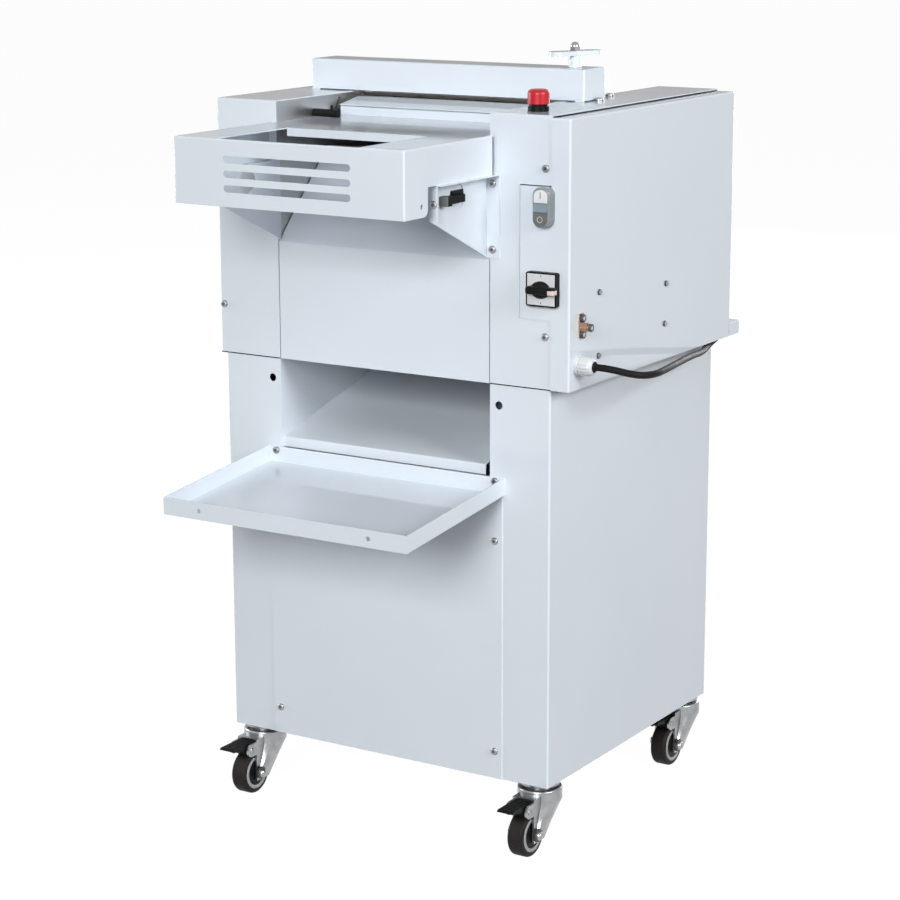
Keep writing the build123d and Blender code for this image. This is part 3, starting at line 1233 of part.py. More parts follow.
def cord_tie():
    """Band round the turns on the left of the coil."""
    ends = [end for start, end, radius, side in coil_turns() if side == 1]
    margin = CORD_RADIUS + TIE_CLEAR
    x0, x1 = min(ends) - margin, max(ends) + margin
    z0, z1 = COIL_Z - margin, COIL_Z + margin
    y0, y1 = coil_y() - TIE_WIDTH / 2, coil_y() + TIE_WIDTH / 2
    wall = TIE_THICKNESS
    return block(x0 - wall, x1 + wall, y0, y1, z0 - wall, z1 + wall) - block(x0, x1, y0, y1, z0, z1)


def cord_clip():
    """Saddle under the top of the ledge that holds the cord."""
    top = LEDGE_TOP - SHEET
    half = CORD_RADIUS + CLIP_WALL + CLEAR
    foot = LEDGE_CORD_Z - half
    x0, x1 = CLIP_X - CLIP_WIDTH / 2, CLIP_X + CLIP_WIDTH / 2
    clip = block(x0, x1, CORD_DROP_Y - half, CORD_DROP_Y + half, foot, top)
    return clip - rod_x(CORD_RADIUS + 2 * CLEAR, x0, x1, CORD_DROP_Y + CLEAR, LEDGE_CORD_Z + CLEAR)


def power_plug():
    """Flat plug with three round pins, lying on the floor."""
    x = coil_turns()[-1][1]
    start = coil_y() + COIL_TAIL
    neck_end = start + PLUG_NECK
    body_end = neck_end + PLUG_BODY
    neck = CORD_RADIUS + 1
    plug = block(x - neck, x + neck, start, neck_end, COIL_Z - neck, COIL_Z + neck)
    body = RectangleRounded(PLUG_WIDTH, PLUG_HEIGHT, PLUG_HEIGHT / 3)
    middle = COIL_Z - neck + PLUG_HEIGHT / 2
    plug += along_y(Pos(x, middle) * body, neck_end, body_end)
    for step in (-1, 0, 1):
        z = middle - PIN_DROP * (step == 0)
        plug += rod_y(PIN_RADIUS, body_end, body_end + PIN_LENGTH, x + step * PIN_SPACING, z)
    return plug


# Write one file for each named piece

PIECES = [
    base_side_panels, base_rear_and_floor, base_front_panel, chute, discharge_tray,
    frame_plates, left_cover, right_column, right_cover, front_cover, back_cover, beam_cover,
    infeed_table, infeed_brackets, interlock_switch, feed_ramp, stop_bar,
    lower_roll, upper_roll, roll_yoke, handwheel,
    drive_drum, idler_drum, moulding_belt, pressure_board, bearings, drive_chain,
    motor, motor_pulley, drive_belt,
    estop_base, estop_button, button_housing, start_button, stop_button, switch_plate, switch_knob,
    control_panel, earth_terminal, side_bolts, screws,
    cable_gland, power_cord, cord_coil, cord_tie, cord_clip, power_plug,
]


def save(name, shapes):
    solids = [solid for shape in shapes for solid in (ORIGIN * shape).solids()]
    export_step(Compound(solids), "parts/" + name + ".step")
    print(name, len(solids), round(sum(solid.volume for solid in solids)))


os.makedirs("parts", exist_ok=True)
for piece in PIECES:
    made = piece()
    save(piece.__name__, made if isinstance(made, list) else [made])
for name, solids in casters().items():
    save(name, solids)
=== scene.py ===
import math
import bmesh
import bpy
from mathutils import Matrix, Vector


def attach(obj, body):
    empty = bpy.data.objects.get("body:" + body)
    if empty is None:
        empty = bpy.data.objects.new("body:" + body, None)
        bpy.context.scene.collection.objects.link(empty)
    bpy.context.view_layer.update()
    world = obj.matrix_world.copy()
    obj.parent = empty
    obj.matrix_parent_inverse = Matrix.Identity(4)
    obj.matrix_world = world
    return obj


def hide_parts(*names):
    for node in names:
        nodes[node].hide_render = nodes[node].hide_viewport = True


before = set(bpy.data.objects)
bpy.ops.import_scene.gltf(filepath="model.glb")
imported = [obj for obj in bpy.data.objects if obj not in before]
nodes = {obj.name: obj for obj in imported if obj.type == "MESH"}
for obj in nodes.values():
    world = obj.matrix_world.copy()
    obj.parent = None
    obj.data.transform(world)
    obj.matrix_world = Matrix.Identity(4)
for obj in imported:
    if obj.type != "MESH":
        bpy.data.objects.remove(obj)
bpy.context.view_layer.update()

# Places are in metres from the middle of the base front, at floor level.
# MIDDLE is the place of the frame's origin.
MIDDLE = Vector((0.019, 0.145, 0.0))

# Directions
RIGHTWARD = Vector((1, 0, 0))
FORWARD = Vector((0, -1, 0))
UPWARD = Vector((0, 0, 1))

# Meshes; the angle is in degrees
SAME_POINT = 0.000001
WELD_DISTANCE = 0.00001
SHARP_ANGLE = 40
ROUND_STEPS = 64
SMALL_ROUND_STEPS = 32
PLATE_EDGE_STEPS = 3
SOFT_NODES = ("switch_plate", "power_plug", "cord_clip")
SOFT_EDGE = 0.0004
SOFT_EDGE_STEPS = 2

# Levels between which the noise in the materials mostly lies
NOISE_LOW = 0.3
NOISE_HIGH = 0.7

# Camera; angles in degrees, lens and sensor in millimetres
CAMERA_PLACE = (1.94493, -2.93580, 1.38815)
CAMERA_AZIMUTH = 31.9346
CAMERA_ELEVATION = 13.0189
CAMERA_ROLL = -0.1559
CAMERA_LENS = 98.915
SENSOR = 36.0

# Soft boxes, all aimed at one place; angles in degrees, power in watts
AIM = (0.0, 0.2, 0.6)
LAMP_DISTANCE = 6.0
FRONT_LAMP = {"azimuth": 15.0, "elevation": 19.0, "size": 2.0, "power": 248.0}
RIGHT_LAMP = {"azimuth": 78.0, "elevation": 22.0, "size": 2.2, "power": 232.0}
LEFT_LAMP = {"azimuth": -80.0, "elevation": 8.0, "size": 2.4, "power": 165.0}
BACK_LAMP = {"azimuth": 182.0, "elevation": 8.0, "size": 2.4, "power": 165.0}

# Light of the world, and the grey band just over the horizon that gloss shows;
# the band's limits are the upward part of a ray's direction
HORIZON_LIGHT = 0.08
ZENITH_LIGHT = 0.05
BAND_FOOT = 0.003
BAND_TOP = 0.078
BAND_END = 0.112
BAND_LEVEL = 0.35

# Floor
FLOOR_GLOW = 0.97
FLOOR_COLOUR = 0.08
FLOOR_SIZE = 60.0
FLOOR_CELLS = 8

# Gland
HEAD_RIGHT = 0.310
GLAND_Y = 0.023
GLAND_Z = 0.728
GLAND_TIP = 0.338
GLAND_STEPS = 96
GLAND_RIBS = 16
GLAND_RIB_SHARE = 0.035

# Cord: its coil behind the base, and the route from the gland down to it
CORD_DIAMETER = 0.010
CORD_ROUND_STEPS = 6
CORD_SPAN_STEPS = 8
COIL_Y = 0.580
COIL_Z = 0.0064
COIL_START_X = 0.020
COIL_RADIUS = 0.048
COIL_STEP = 0.0054
COIL_HALF_TURNS = 4
COIL_POINTS = 8
COIL_TAIL = 0.034
CORD_ROUTE = [
    (GLAND_TIP, GLAND_Y, GLAND_Z),
    (0.350, GLAND_Y, GLAND_Z),
    (0.369, 0.0245, 0.7265),
    (0.387, 0.034, 0.7215),
    (0.400, 0.052, 0.7175),
    (0.4055, 0.077, 0.7165),
    (0.402, 0.103, 0.716),
    (0.394, 0.141, 0.714),
    (0.380, 0.192, 0.710),
    (0.364, 0.250, 0.705),
    (0.345, 0.315, 0.698),
    (0.327, 0.375, 0.690),
    (0.311, 0.420, 0.6855),
    (0.301, 0.455, 0.687),
    (0.301, 0.492, 0.696),
    (0.2875, 0.518, 0.701),
    (0.263, 0.533, 0.704),
    (0.234, 0.535, 0.704),
    (0.195, 0.532, 0.703),
    (0.141, 0.530, 0.703),
    (0.020, 0.531, 0.703),
    (0.021, 0.530, 0.582),
    (0.019, 0.531, 0.460),
    (0.021, 0.529, 0.320),
    (0.020, 0.530, 0.190),
    (0.022, 0.530, 0.066),
    (0.0225, 0.530, 0.0405),
    (0.023, 0.5425, 0.019),
    (0.0225, 0.564, COIL_Z),
]

# Double push button
BUTTON_X = 0.2724
BUTTON_Z = 0.9495
HOUSING_FRONT = -0.0175
LENS_HALF = 0.0063
LENS_LEAST_PROUD = 0.0002
START_FRONT = -0.0185
START_Z = 0.9665
START_MARK_HALF_WIDTH = 0.0006
START_MARK_HALF_HEIGHT = 0.0045
STOP_FRONT = -0.0195
STOP_Z = 0.9335
STOP_MARK_INNER = 0.0035
STOP_MARK_OUTER = 0.0043
MARK_PROUD = 0.00012
MARK_SUNK = 0.0002
MARK_EDGE = 0.0001

# Rotary switch; what lies left, right, above or below is measured from its middle
ROTARY_X = 0.2704
ROTARY_Z = 0.8355
ROTARY_FRONT = -0.0115
ROTARY_FACE = 0.0435
FACE_PROUD = 0.0002
FACE_SUNK = 0.0003
FACE_EDGE = 0.00015
TICK_OUT = 0.0188
TICK_HALF_WIDTH = 0.0006
TICK_HALF_HEIGHT = 0.0014
TICK_PROUD = 0.0003
KNOB_FRONT = -0.0258
KNOB_GAP = 0.0004
KNOB_HALF_WIDTH = 0.0150
KNOB_HALF_HEIGHT = 0.0120
GRIP_LEFT = 0.0180
GRIP_RIGHT = 0.0268
GRIP_HALF = 0.0055
GRIP_GAP = 0.0012
GRIP_EDGE = 0.0030
POINTER_LEFT = 0.0176
POINTER_PROUD = 0.0004
POINTER_DEPTH = 0.0118
POINTER_BELOW = 0.0046
POINTER_ABOVE = 0.0021
POINTER_EDGE = 0.0012

# Joint between head and base, where a dark strip is painted shade of the gap
HEAD_LEFT = -0.290
OPENING_HALF = 0.182
COLUMN_RIGHT = 0.291
BASE_TOP = 0.693
SEAM = 0.0016
SEAM_PROUD = 0.0004
SEAM_SUNK = 0.0010
SEAM_EDGE = 0.0002

# Sockets of the screws, drawn as dark hexagons of painted shade
SOCKET_RADIUS = 0.0024
SOCKET_SIDES = 6
SOCKET_SUNK = 0.0004
SOCKET_PROUD = 0.00012

# Where a node changes its finish
FACE_MARGIN = 0.0001
BEAM_TOP = 1.1205
HANDLE_TOP = 1.1445
ESTOP_HEAD_FOOT = 1.0843
INTERLOCK_FLANGE = 0.1765
INTERLOCK_END = -0.1262
SIDE_BOLT_END = 0.3133

# Ends of the two bolts and the stud of the earth terminal, as (x, z)
TERMINAL_Y = 0.031
TERMINAL_BOLTS = ((0.3155, 0.7935), (0.3155, 0.7705), (0.3280, 0.7810))

# Casters; on each of them the axle end towards +x is named outer
CORNERS = ("front_left", "front_right", "rear_left", "rear_right")
AXLE_ENDS = (("outer", 1), ("inner", -1))
CASTER_X = 0.248
CASTER_Y = {"front": 0.033, "rear": 0.483}
CASTER_TRAIL = 0.041
AXLE_Z = 0.034
WHEEL_HALF = 0.0125
AXLE_END = 0.022
CHEEK = 0.018
PEDAL_PIN = (-0.060, 0.075)
PEDAL_TOP = 0.0865
PEDAL_TIP = -0.098
PEDAL_ROOT = -0.054
PEDAL_HALF = 0.013
PEDAL_RIBS = 9
RIB_INSET = 0.0015
RIB_LENGTH = 0.0022
RIB_SUNK = 0.0006
RIB_PROUD = 0.0009
RIB_EDGE = 0.0004


def place(x, y, z):
    """Point in the frame for a place."""
    return Vector((x, y, z)) - MIDDLE


# Materials

def shader_of(material):
    return material.node_tree.nodes["Principled BSDF"]


def new_material(name, colour, metallic=0.0):
    made = bpy.data.materials.new(name)
    made.use_nodes = True
    shader = shader_of(made)
    shader.inputs["Base Color"].default_value = (*colour, 1.0)
    shader.inputs["Metallic"].default_value = metallic
    return made


def noise(material, scale, stretch=(1.0, 1.0, 1.0), detail=3.0):
    """Noise that is fixed to the piece; the scale is in waves to the metre."""
    tree = material.node_tree
    where = tree.nodes.new("ShaderNodeTexCoord")
    spread = tree.nodes.new("ShaderNodeMapping")
    spread.inputs["Scale"].default_value = stretch
    waves = tree.nodes.new("ShaderNodeTexNoise")
    waves.inputs["Scale"].default_value = scale
    waves.inputs["Detail"].default_value = detail
    tree.links.new(where.outputs["Object"], spread.inputs["Vector"])
    tree.links.new(spread.outputs["Vector"], waves.inputs["Vector"])
    return waves.outputs["Fac"]


def tint(material, source, dark, light):
    """Let the colour wander between two shades."""
    tree = material.node_tree
    ramp = tree.nodes.new("ShaderNodeValToRGB")
    ramp.color_ramp.elements[0].position = NOISE_LOW
    ramp.color_ramp.elements[0].color = (*dark, 1.0)
    ramp.color_ramp.elements[1].position = NOISE_HIGH
    ramp.color_ramp.elements[1].color = (*light, 1.0)
    tree.links.new(source, ramp.inputs["Fac"])
    tree.links.new(ramp.outputs["Color"], shader_of(material).inputs["Base Color"])


def polish(material, source, low, high):
    """Let the roughness wander between two values."""
    tree = material.node_tree
    spread = tree.nodes.new("ShaderNodeMapRange")
    spread.inputs["From Min"].default_value = NOISE_LOW
    spread.inputs["From Max"].default_value = NOISE_HIGH
    spread.inputs["To Min"].default_value = low
    spread.inputs["To Max"].default_value = high
    tree.links.new(source, spread.inputs["Value"])
    tree.links.new(spread.outputs["Result"], shader_of(material).inputs["Roughness"])


def relief(material, source, height):
    """Let the surface seem to rise and fall by a height in metres."""
    tree = material.node_tree
    bump = tree.nodes.new("ShaderNodeBump")
    bump.inputs["Distance"].default_value = height
    tree.links.new(source, bump.inputs["Height"])
    tree.links.new(bump.outputs["Normal"], shader_of(material).inputs["Normal"])


def white_paint():
    """Glossy powder coat with a faint orange peel and cloudy gloss."""
    made = new_material("white_paint_coat", (0.705, 0.765, 0.83))
    tint(made, noise(made, scale=4.0), dark=(0.692, 0.752, 0.818), light=(0.718, 0.778, 0.842))
    polish(made, noise(made, scale=18.0), low=0.05, high=0.09)
    relief(made, noise(made, scale=420.0, detail=1.0), height=0.00002)
    return made


def brushed_steel():
    """Bare steel with fine lines along the machine's width."""
    made = new_material("brushed_steel", (0.60, 0.60, 0.59), metallic=1.0)
    lines = noise(made, scale=60.0, stretch=(1.0, 20.0, 20.0), detail=5.0)
    tint(made, lines, dark=(0.55, 0.55, 0.545), light=(0.64, 0.64, 0.635))
    polish(made, lines, low=0.24, high=0.40)
    relief(made, lines, height=0.00005)
    return made


def zinc_plate():
    """Galvanised steel with cloudy patches."""
    made = new_material("zinc_plate", (0.34, 0.345, 0.35), metallic=1.0)
    tint(made, noise(made, scale=60.0), dark=(0.28, 0.285, 0.29), light=(0.40, 0.405, 0.41))
    polish(made, noise(made, scale=90.0), low=0.26, high=0.34)
    relief(made, noise(made, scale=300.0), height=0.00001)
    return made


def chrome():
    made = new_material("chrome", (0.55, 0.55, 0.56), metallic=1.0)
    tint(made, noise(made, scale=200.0), dark=(0.50, 0.50, 0.51), light=(0.60, 0.60, 0.605))
    polish(made, noise(made, scale=500.0), low=0.05, high=0.14)
    return made


def dark_bolt():
    """Blackened steel; on the screw sockets, terminal rims, caster washers and side bolt flanks it is
    painted shade.
    """
    made = new_material("dark_bolt", (0.09, 0.09, 0.095), metallic=0.8)
    tint(made, noise(made, scale=300.0), dark=(0.06, 0.06, 0.065), light=(0.13, 0.13, 0.135))
    polish(made, noise(made, scale=600.0), low=0.30, high=0.50)
    return made


def brass():
    """Coppery brass, tarnished in patches."""
    made = new_material("brass", (0.46, 0.30, 0.21), metallic=1.0)
    tint(made, noise(made, scale=250.0), dark=(0.36, 0.22, 0.15), light=(0.55, 0.38, 0.28))
    polish(made, noise(made, scale=500.0), low=0.22, high=0.42)
    relief(made, noise(made, scale=900.0), height=0.00004)
    return made


def cast_iron():
    """Rough dark casting."""
    made = new_material("cast_iron", (0.10, 0.11, 0.12), metallic=0.3)
    tint(made, noise(made, scale=90.0), dark=(0.07, 0.08, 0.09), light=(0.14, 0.15, 0.16))
    polish(made, noise(made, scale=200.0), low=0.50, high=0.70)
    relief(made, noise(made, scale=500.0, detail=6.0), height=0.0003)
    return made


def grey_paint():
    """Dark machine paint."""
    made = new_material("grey_paint_coat", (0.16, 0.18, 0.20))
    tint(made, noise(made, scale=12.0), dark=(0.14, 0.16, 0.18), light=(0.18, 0.20, 0.22))
    polish(made, noise(made, scale=60.0), low=0.35, high=0.50)
    relief(made, noise(made, scale=500.0), height=0.0001)
    return made


def felt():
    """Woven conveyor felt."""
    made = new_material("belt_felt", (0.62, 0.58, 0.48))
    shader_of(made).inputs["Sheen Weight"].default_value = 0.4
    threads = noise(made, scale=700.0, stretch=(1.0, 3.0, 3.0))
    tint(made, threads, dark=(0.52, 0.48, 0.39), light=(0.70, 0.66, 0.56))
    polish(made, noise(made, scale=300.0), low=0.80, high=0.95)
    relief(made, noise(made, scale=1500.0, detail=5.0), height=0.0003)
    return made


def plastic(name, dark, light, low, high, grain=900.0, depth=0.00003, shine=0.5):
    """Moulded plastic or rubber with a fine grain; low and high are its roughness."""
    made = new_material(name, light)
    shader_of(made).inputs["Specular IOR Level"].default_value = shine
    tint(made, noise(made, scale=40.0), dark, light)
    polish(made, noise(made, scale=150.0), low, high)
    relief(made, noise(made, scale=grain, detail=2.0), height=depth)
    return made


PAINT = white_paint()
STEEL = brushed_steel()
ZINC = zinc_plate()
CHROME = chrome()
DARK_BOLT_AND_SHADE = dark_bolt()
BRASS = brass()
CAST_IRON = cast_iron()
GREY_PAINT = grey_paint()
FELT = felt()
# Cord rubber, also used for the dark strips in the head joint, which are painted shade
BLACK_RUBBER_AND_SHADE = plastic(
    "cord_rubber", dark=(0.006, 0.005, 0.005), light=(0.011, 0.010, 0.010), low=0.50, high=0.62,
    shine=0.12)
BLACK_PLASTIC = plastic(
    "black_moulding", dark=(0.004, 0.004, 0.004), light=(0.009, 0.009, 0.009), low=0.34, high=0.46,
    shine=0.1)
RED_PLASTIC = plastic(
    "red_moulding", dark=(0.40, 0.002, 0.008), light=(0.49, 0.003, 0.011), low=0.30, high=0.42)
BOOT_PLASTIC = plastic(
    "boot_silicone", dark=(0.20, 0.22, 0.23), light=(0.26, 0.28, 0.29), low=0.26, high=0.38)
LENS_PLASTIC = plastic(
    "lens_plastic", dark=(0.22, 0.28, 0.33), light=(0.28, 0.34, 0.39), low=0.12, high=0.20)
WHITE_PLASTIC = plastic(
    "white_moulding", dark=(0.72, 0.74, 0.75), light=(0.80, 0.81, 0.82), low=0.24, high=0.36)
DARK_PLASTIC = plastic(
    "dark_moulding", dark=(0.12, 0.125, 0.12), light=(0.16, 0.165, 0.16), low=0.28, high=0.40)
PALE_PLASTIC = plastic(
    "pale_moulding", dark=(0.62, 0.64, 0.65), light=(0.72, 0.74, 0.75), low=0.30, high=0.44)
HUB_PLASTIC = plastic(
    "hub_moulding", dark=(0.30, 0.31, 0.31), light=(0.38, 0.39, 0.39), low=0.36, high=0.50)
TYRE_RUBBER = plastic(
    "tyre_rubber", dark=(0.010, 0.008, 0.008), light=(0.020, 0.016, 0.016), low=0.50, high=0.70,
    grain=400.0, depth=0.0001, shine=0.15)
SILVER_FACE = plastic(
    "silver_face", dark=(0.60, 0.62, 0.63), light=(0.68, 0.70, 0.71), low=0.26, high=0.36)
MARK_INK = plastic(
    "mark_ink", dark=(0.06, 0.065, 0.07), light=(0.09, 0.095, 0.10), low=0.40, high=0.55)
MARK_PALE = plastic(
    "mark_pale", dark=(0.74, 0.60, 0.56), light=(0.82, 0.68, 0.64), low=0.40, high=0.55)

# Finish for each material slot of the record
FINISHES = {
    "white_paint": PAINT,
    "steel": STEEL,
    "zinc": ZINC,
    "dark_bolt": DARK_BOLT_AND_SHADE,
    "brass": BRASS,
    "cast_iron": CAST_IRON,
    "grey_paint": GREY_PAINT,
    "felt": FELT,
    "black_rubber": BLACK_RUBBER_AND_SHADE,
    "black_plastic": BLACK_PLASTIC,
    "red_plastic": RED_PLASTIC,
    "smoke_plastic": BOOT_PLASTIC,
    "white_plastic": WHITE_PLASTIC,
    "dark_plastic": DARK_PLASTIC,
    "grey_plastic": PALE_PLASTIC,
    "wheel_rubber": TYRE_RUBBER,
}


def finish_nodes():
    for node in nodes.values():
        for slot in node.material_slots:
            slot.material = FINISHES[slot.material.name]


def paint_faces(name, material, chosen):
    """Give a node's faces another material where chosen(middle of the face) holds."""
    node = nodes[name]
    node.data.materials.append(material)
    index = len(node.data.materials) - 1
    for face in node.data.polygons:
        if chosen(face.center + MIDDLE):
            face.material_index = index


def paint_details():
    """Second finish on some nodes: lens, stop collar, interlock, bolt ends, spindle and handle nut; the
    side bolts' flanks keep their dark finish as painted shade.
    """
    lens_back = HOUSING_FRONT - LENS_LEAST_PROUD
    paint_faces(
        "button_housing", LENS_PLASTIC,
        lambda middle: middle.y < lens_back and abs(middle.z - BUTTON_Z) < LENS_HALF)
    paint_faces("estop_button", BLACK_PLASTIC, lambda middle: middle.z < ESTOP_HEAD_FOOT - FACE_MARGIN)
    paint_faces("interlock_switch", PAINT, lambda middle: middle.x < INTERLOCK_FLANGE)
    paint_faces("interlock_switch", DARK_PLASTIC, lambda middle: middle.y < INTERLOCK_END)
    # The side bolts' flanks stay dark as painted shade round their zinc ends.
    paint_faces("side_bolts", ZINC, lambda middle: middle.x > SIDE_BOLT_END)
    paint_faces("handwheel", STEEL, lambda middle: middle.z < BEAM_TOP)
    paint_faces("handwheel", ZINC, lambda middle: middle.z > HANDLE_TOP + FACE_MARGIN)


def soften_edges():
    """Take the sharpness off the edges of some nodes."""
    for name in SOFT_NODES:
        node = nodes[name]
        weld = node.modifiers.new("weld", "WELD")
        weld.merge_threshold = WELD_DISTANCE
        bevel = node.modifiers.new("soft_edges", "BEVEL")
        bevel.width = SOFT_EDGE
        bevel.segments = SOFT_EDGE_STEPS
        bevel.limit_method = "ANGLE"
        bevel.angle_limit = math.radians(SHARP_ANGLE)


# Pieces

def add_piece(name, mesh, material, body):
    """Put a mesh, given in places from the base front, on the body that carries it."""
    mesh.transform(Matrix.Translation(-MIDDLE))
    mesh.materials.append(material)
    piece = bpy.data.objects.new(name, mesh)
    bpy.context.scene.collection.objects.link(piece)
    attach(piece, body)
    return piece


def turned(name, profile, centre, axis, steps=ROUND_STEPS, ripple=None):
    """Closed mesh turned from (along, radius) pairs; ripple(turn, index) scales the radius.

    The axis lies along x, y or z. A profile that starts on the axis ends there.
    Any other is a ring, whose last pair meets its first.
    """
    across = RIGHTWARD if axis.z else UPWARD
    side = axis.cross(across)
    form = bmesh.new()
    rings = []
    for index, (along, radius) in enumerate(profile):
        ring = []
        for step in range(steps):
            turn = 2 * math.pi * step / steps
            reach = radius * (ripple(turn, index) if ripple else 1.0)
            point = centre + axis * along + (across * math.cos(turn) + side * math.sin(turn)) * reach
            ring.append(form.verts.new(point))
        rings.append(ring)
    hollow = profile[0][1] > 0.0
    followers = rings[1:] + rings[:1] if hollow else rings[1:]
    for inner, outer in zip(rings, followers):
        for step in range(steps):
            after = (step + 1) % steps
            face = form.faces.new((inner[step], inner[after], outer[after], outer[step]))
            face.smooth = True
    bmesh.ops.remove_doubles(form, verts=form.verts, dist=SAME_POINT)
    bmesh.ops.recalc_face_normals(form, faces=form.faces)
    mesh = bpy.data.meshes.new(name)
    form.to_mesh(mesh)
    form.free()
    mesh.set_sharp_from_angle(angle=math.radians(SHARP_ANGLE))
    return mesh


def rounded_plate(name, low, high, edge):
    """Mesh of a small plate with softened edges between two corners."""
    form = bmesh.new()
    size = Vector(high) - Vector(low)
    middle = (Vector(high) + Vector(low)) / 2
    spread = Matrix.Translation(middle) @ Matrix.Diagonal((*size, 1.0))
    bmesh.ops.create_cube(form, size=1.0, matrix=spread)
    bmesh.ops.bevel(
        form, geom=form.edges, offset=edge, segments=PLATE_EDGE_STEPS, affect="EDGES", profile=0.5)
    mesh = bpy.data.meshes.new(name)
    form.to_mesh(mesh)
    form.free()
    return mesh


def merged(name, meshes):
    """One mesh out of several, which are used up."""
    form = bmesh.new()
    for mesh in meshes:
        form.from_mesh(mesh)
        bpy.data.meshes.remove(mesh)
    whole = bpy.data.meshes.new(name)
    form.to_mesh(whole)
    form.free()
    return whole


# Cord

def coil_points():
    """Points of the coil behind the machine; each half turn is one step wider than the last."""
    # The spline passes its points at this share of their distance from the middle.
    draw_in = (3 + math.cos(math.pi / COIL_POINTS)) / 4
    points = []
    start = COIL_START_X
    for half_turn in range(COIL_HALF_TURNS):
        radius = COIL_RADIUS + half_turn * COIL_STEP
        heading = 1 if half_turn % 2 == 0 else -1
        middle = start - heading * radius
        reach = radius / draw_in
        for step in range(COIL_POINTS):
            turn = math.pi * (half_turn + (step + 0.5) / COIL_POINTS)
            points.append((middle + reach * math.cos(turn), COIL_Y + reach * math.sin(turn), COIL_Z))
        start -= heading * 2 * radius
    points.append((start, COIL_Y + COIL_TAIL / 2, COIL_Z))
    points.append((start, COIL_Y + COIL_TAIL, COIL_Z))
    return points


def power_cord():
    """Cord on one smooth spline from the gland to the plug."""
    points = [place(*point) for point in CORD_ROUTE + coil_points()]
    curve = bpy.data.curves.new("power_lead", "CURVE")
    curve.dimensions = "3D"
    curve.bevel_depth = CORD_DIAMETER / 2
    curve.bevel_resolution = CORD_ROUND_STEPS
    curve.use_fill_caps = True
    spline = curve.splines.new("NURBS")
    spline.points.add(len(points) - 1)
    for knot, point in zip(spline.points, points):
        knot.co = (*point, 1.0)
    spline.order_u = 3
    spline.use_endpoint_u = True
    spline.resolution_u = CORD_SPAN_STEPS
    curve.materials.append(BLACK_RUBBER_AND_SHADE)
    cord = bpy.data.objects.new("power_lead", curve)
    bpy.context.scene.collection.objects.link(cord)
    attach(cord, "cabinet")
    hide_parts("power_cord", "cord_coil")


def cable_gland():
    """Ribbed dome nut on a plain base, with a black seal where the cord comes out."""
    profile = [
        (0.0000, 0.0050), (0.0000, 0.0138), (0.0005, 0.0143), (0.0055, 0.0143), (0.0060, 0.0138),
        (0.0062, 0.0126), (0.0070, 0.0126), (0.0074, 0.0136), (0.0190, 0.0134), (0.0225, 0.0124),
        (0.0255, 0.0104), (0.0268, 0.0082), (0.0268, 0.0060),
    ]
    # Pairs of the profile, counted from 0, that carry the ribs
    ribbed = (7, 8)
    seal = [
        (0.0262, 0.0052), (0.0262, 0.0078), (0.0275, 0.0078), (0.0282, 0.0074), (0.0290, 0.0060),
        (0.0294, 0.0052),
    ]

    def ripple(turn, index):
        return 1.0 + GLAND_RIB_SHARE * math.cos(GLAND_RIBS * turn) if index in ribbed else 1.0

    centre = Vector((HEAD_RIGHT, GLAND_Y, GLAND_Z))
    mesh = turned("gland_nut", profile, centre, RIGHTWARD, GLAND_STEPS, ripple)
    nut = add_piece("gland_nut", mesh, PALE_PLASTIC, "cabinet")
    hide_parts("cable_gland")
    mesh = turned("gland_seal", seal, centre, RIGHTWARD)
    add_piece("gland_seal", mesh, BLACK_RUBBER_AND_SHADE, "cabinet")


# Switches

def push_button_marks():
    """Bar on the start button and circle on the stop button."""
    low = (BUTTON_X - START_MARK_HALF_WIDTH, START_FRONT - MARK_PROUD, START_Z - START_MARK_HALF_HEIGHT)
    high = (BUTTON_X + START_MARK_HALF_WIDTH, START_FRONT + MARK_SUNK, START_Z + START_MARK_HALF_HEIGHT)
    bar = rounded_plate("start_mark", low, high, MARK_EDGE)
    add_piece("start_mark", bar, MARK_INK, "start_button")
    ring = [
        (-MARK_SUNK, STOP_MARK_INNER - MARK_EDGE), (MARK_PROUD, STOP_MARK_INNER),
        (MARK_PROUD, STOP_MARK_OUTER), (-MARK_SUNK, STOP_MARK_OUTER + MARK_EDGE),
    ]
    circle = turned("stop_mark", ring, Vector((BUTTON_X, STOP_FRONT, STOP_Z)), FORWARD)
    add_piece("stop_mark", circle, PALE_PLASTIC, "stop_button")


def rotary_face():
    """Silver face on the switch plate, with a tick over and under the knob."""
    half = ROTARY_FACE / 2
    low = (ROTARY_X - half, ROTARY_FRONT - FACE_PROUD, ROTARY_Z - half)
    high = (ROTARY_X + half, ROTARY_FRONT + FACE_SUNK, ROTARY_Z + half)
    plate = rounded_plate("switch_face", low, high, FACE_EDGE)
    add_piece("switch_face", plate, SILVER_FACE, "cabinet")
    for name, z in (("tick_top", ROTARY_Z + TICK_OUT), ("tick_foot", ROTARY_Z - TICK_OUT)):
        low = (ROTARY_X - TICK_HALF_WIDTH, ROTARY_FRONT - TICK_PROUD, z - TICK_HALF_HEIGHT)
        high = (ROTARY_X + TICK_HALF_WIDTH, ROTARY_FRONT, z + TICK_HALF_HEIGHT)
        add_piece(name, rounded_plate(name, low, high, MARK_EDGE), MARK_INK, "cabinet")


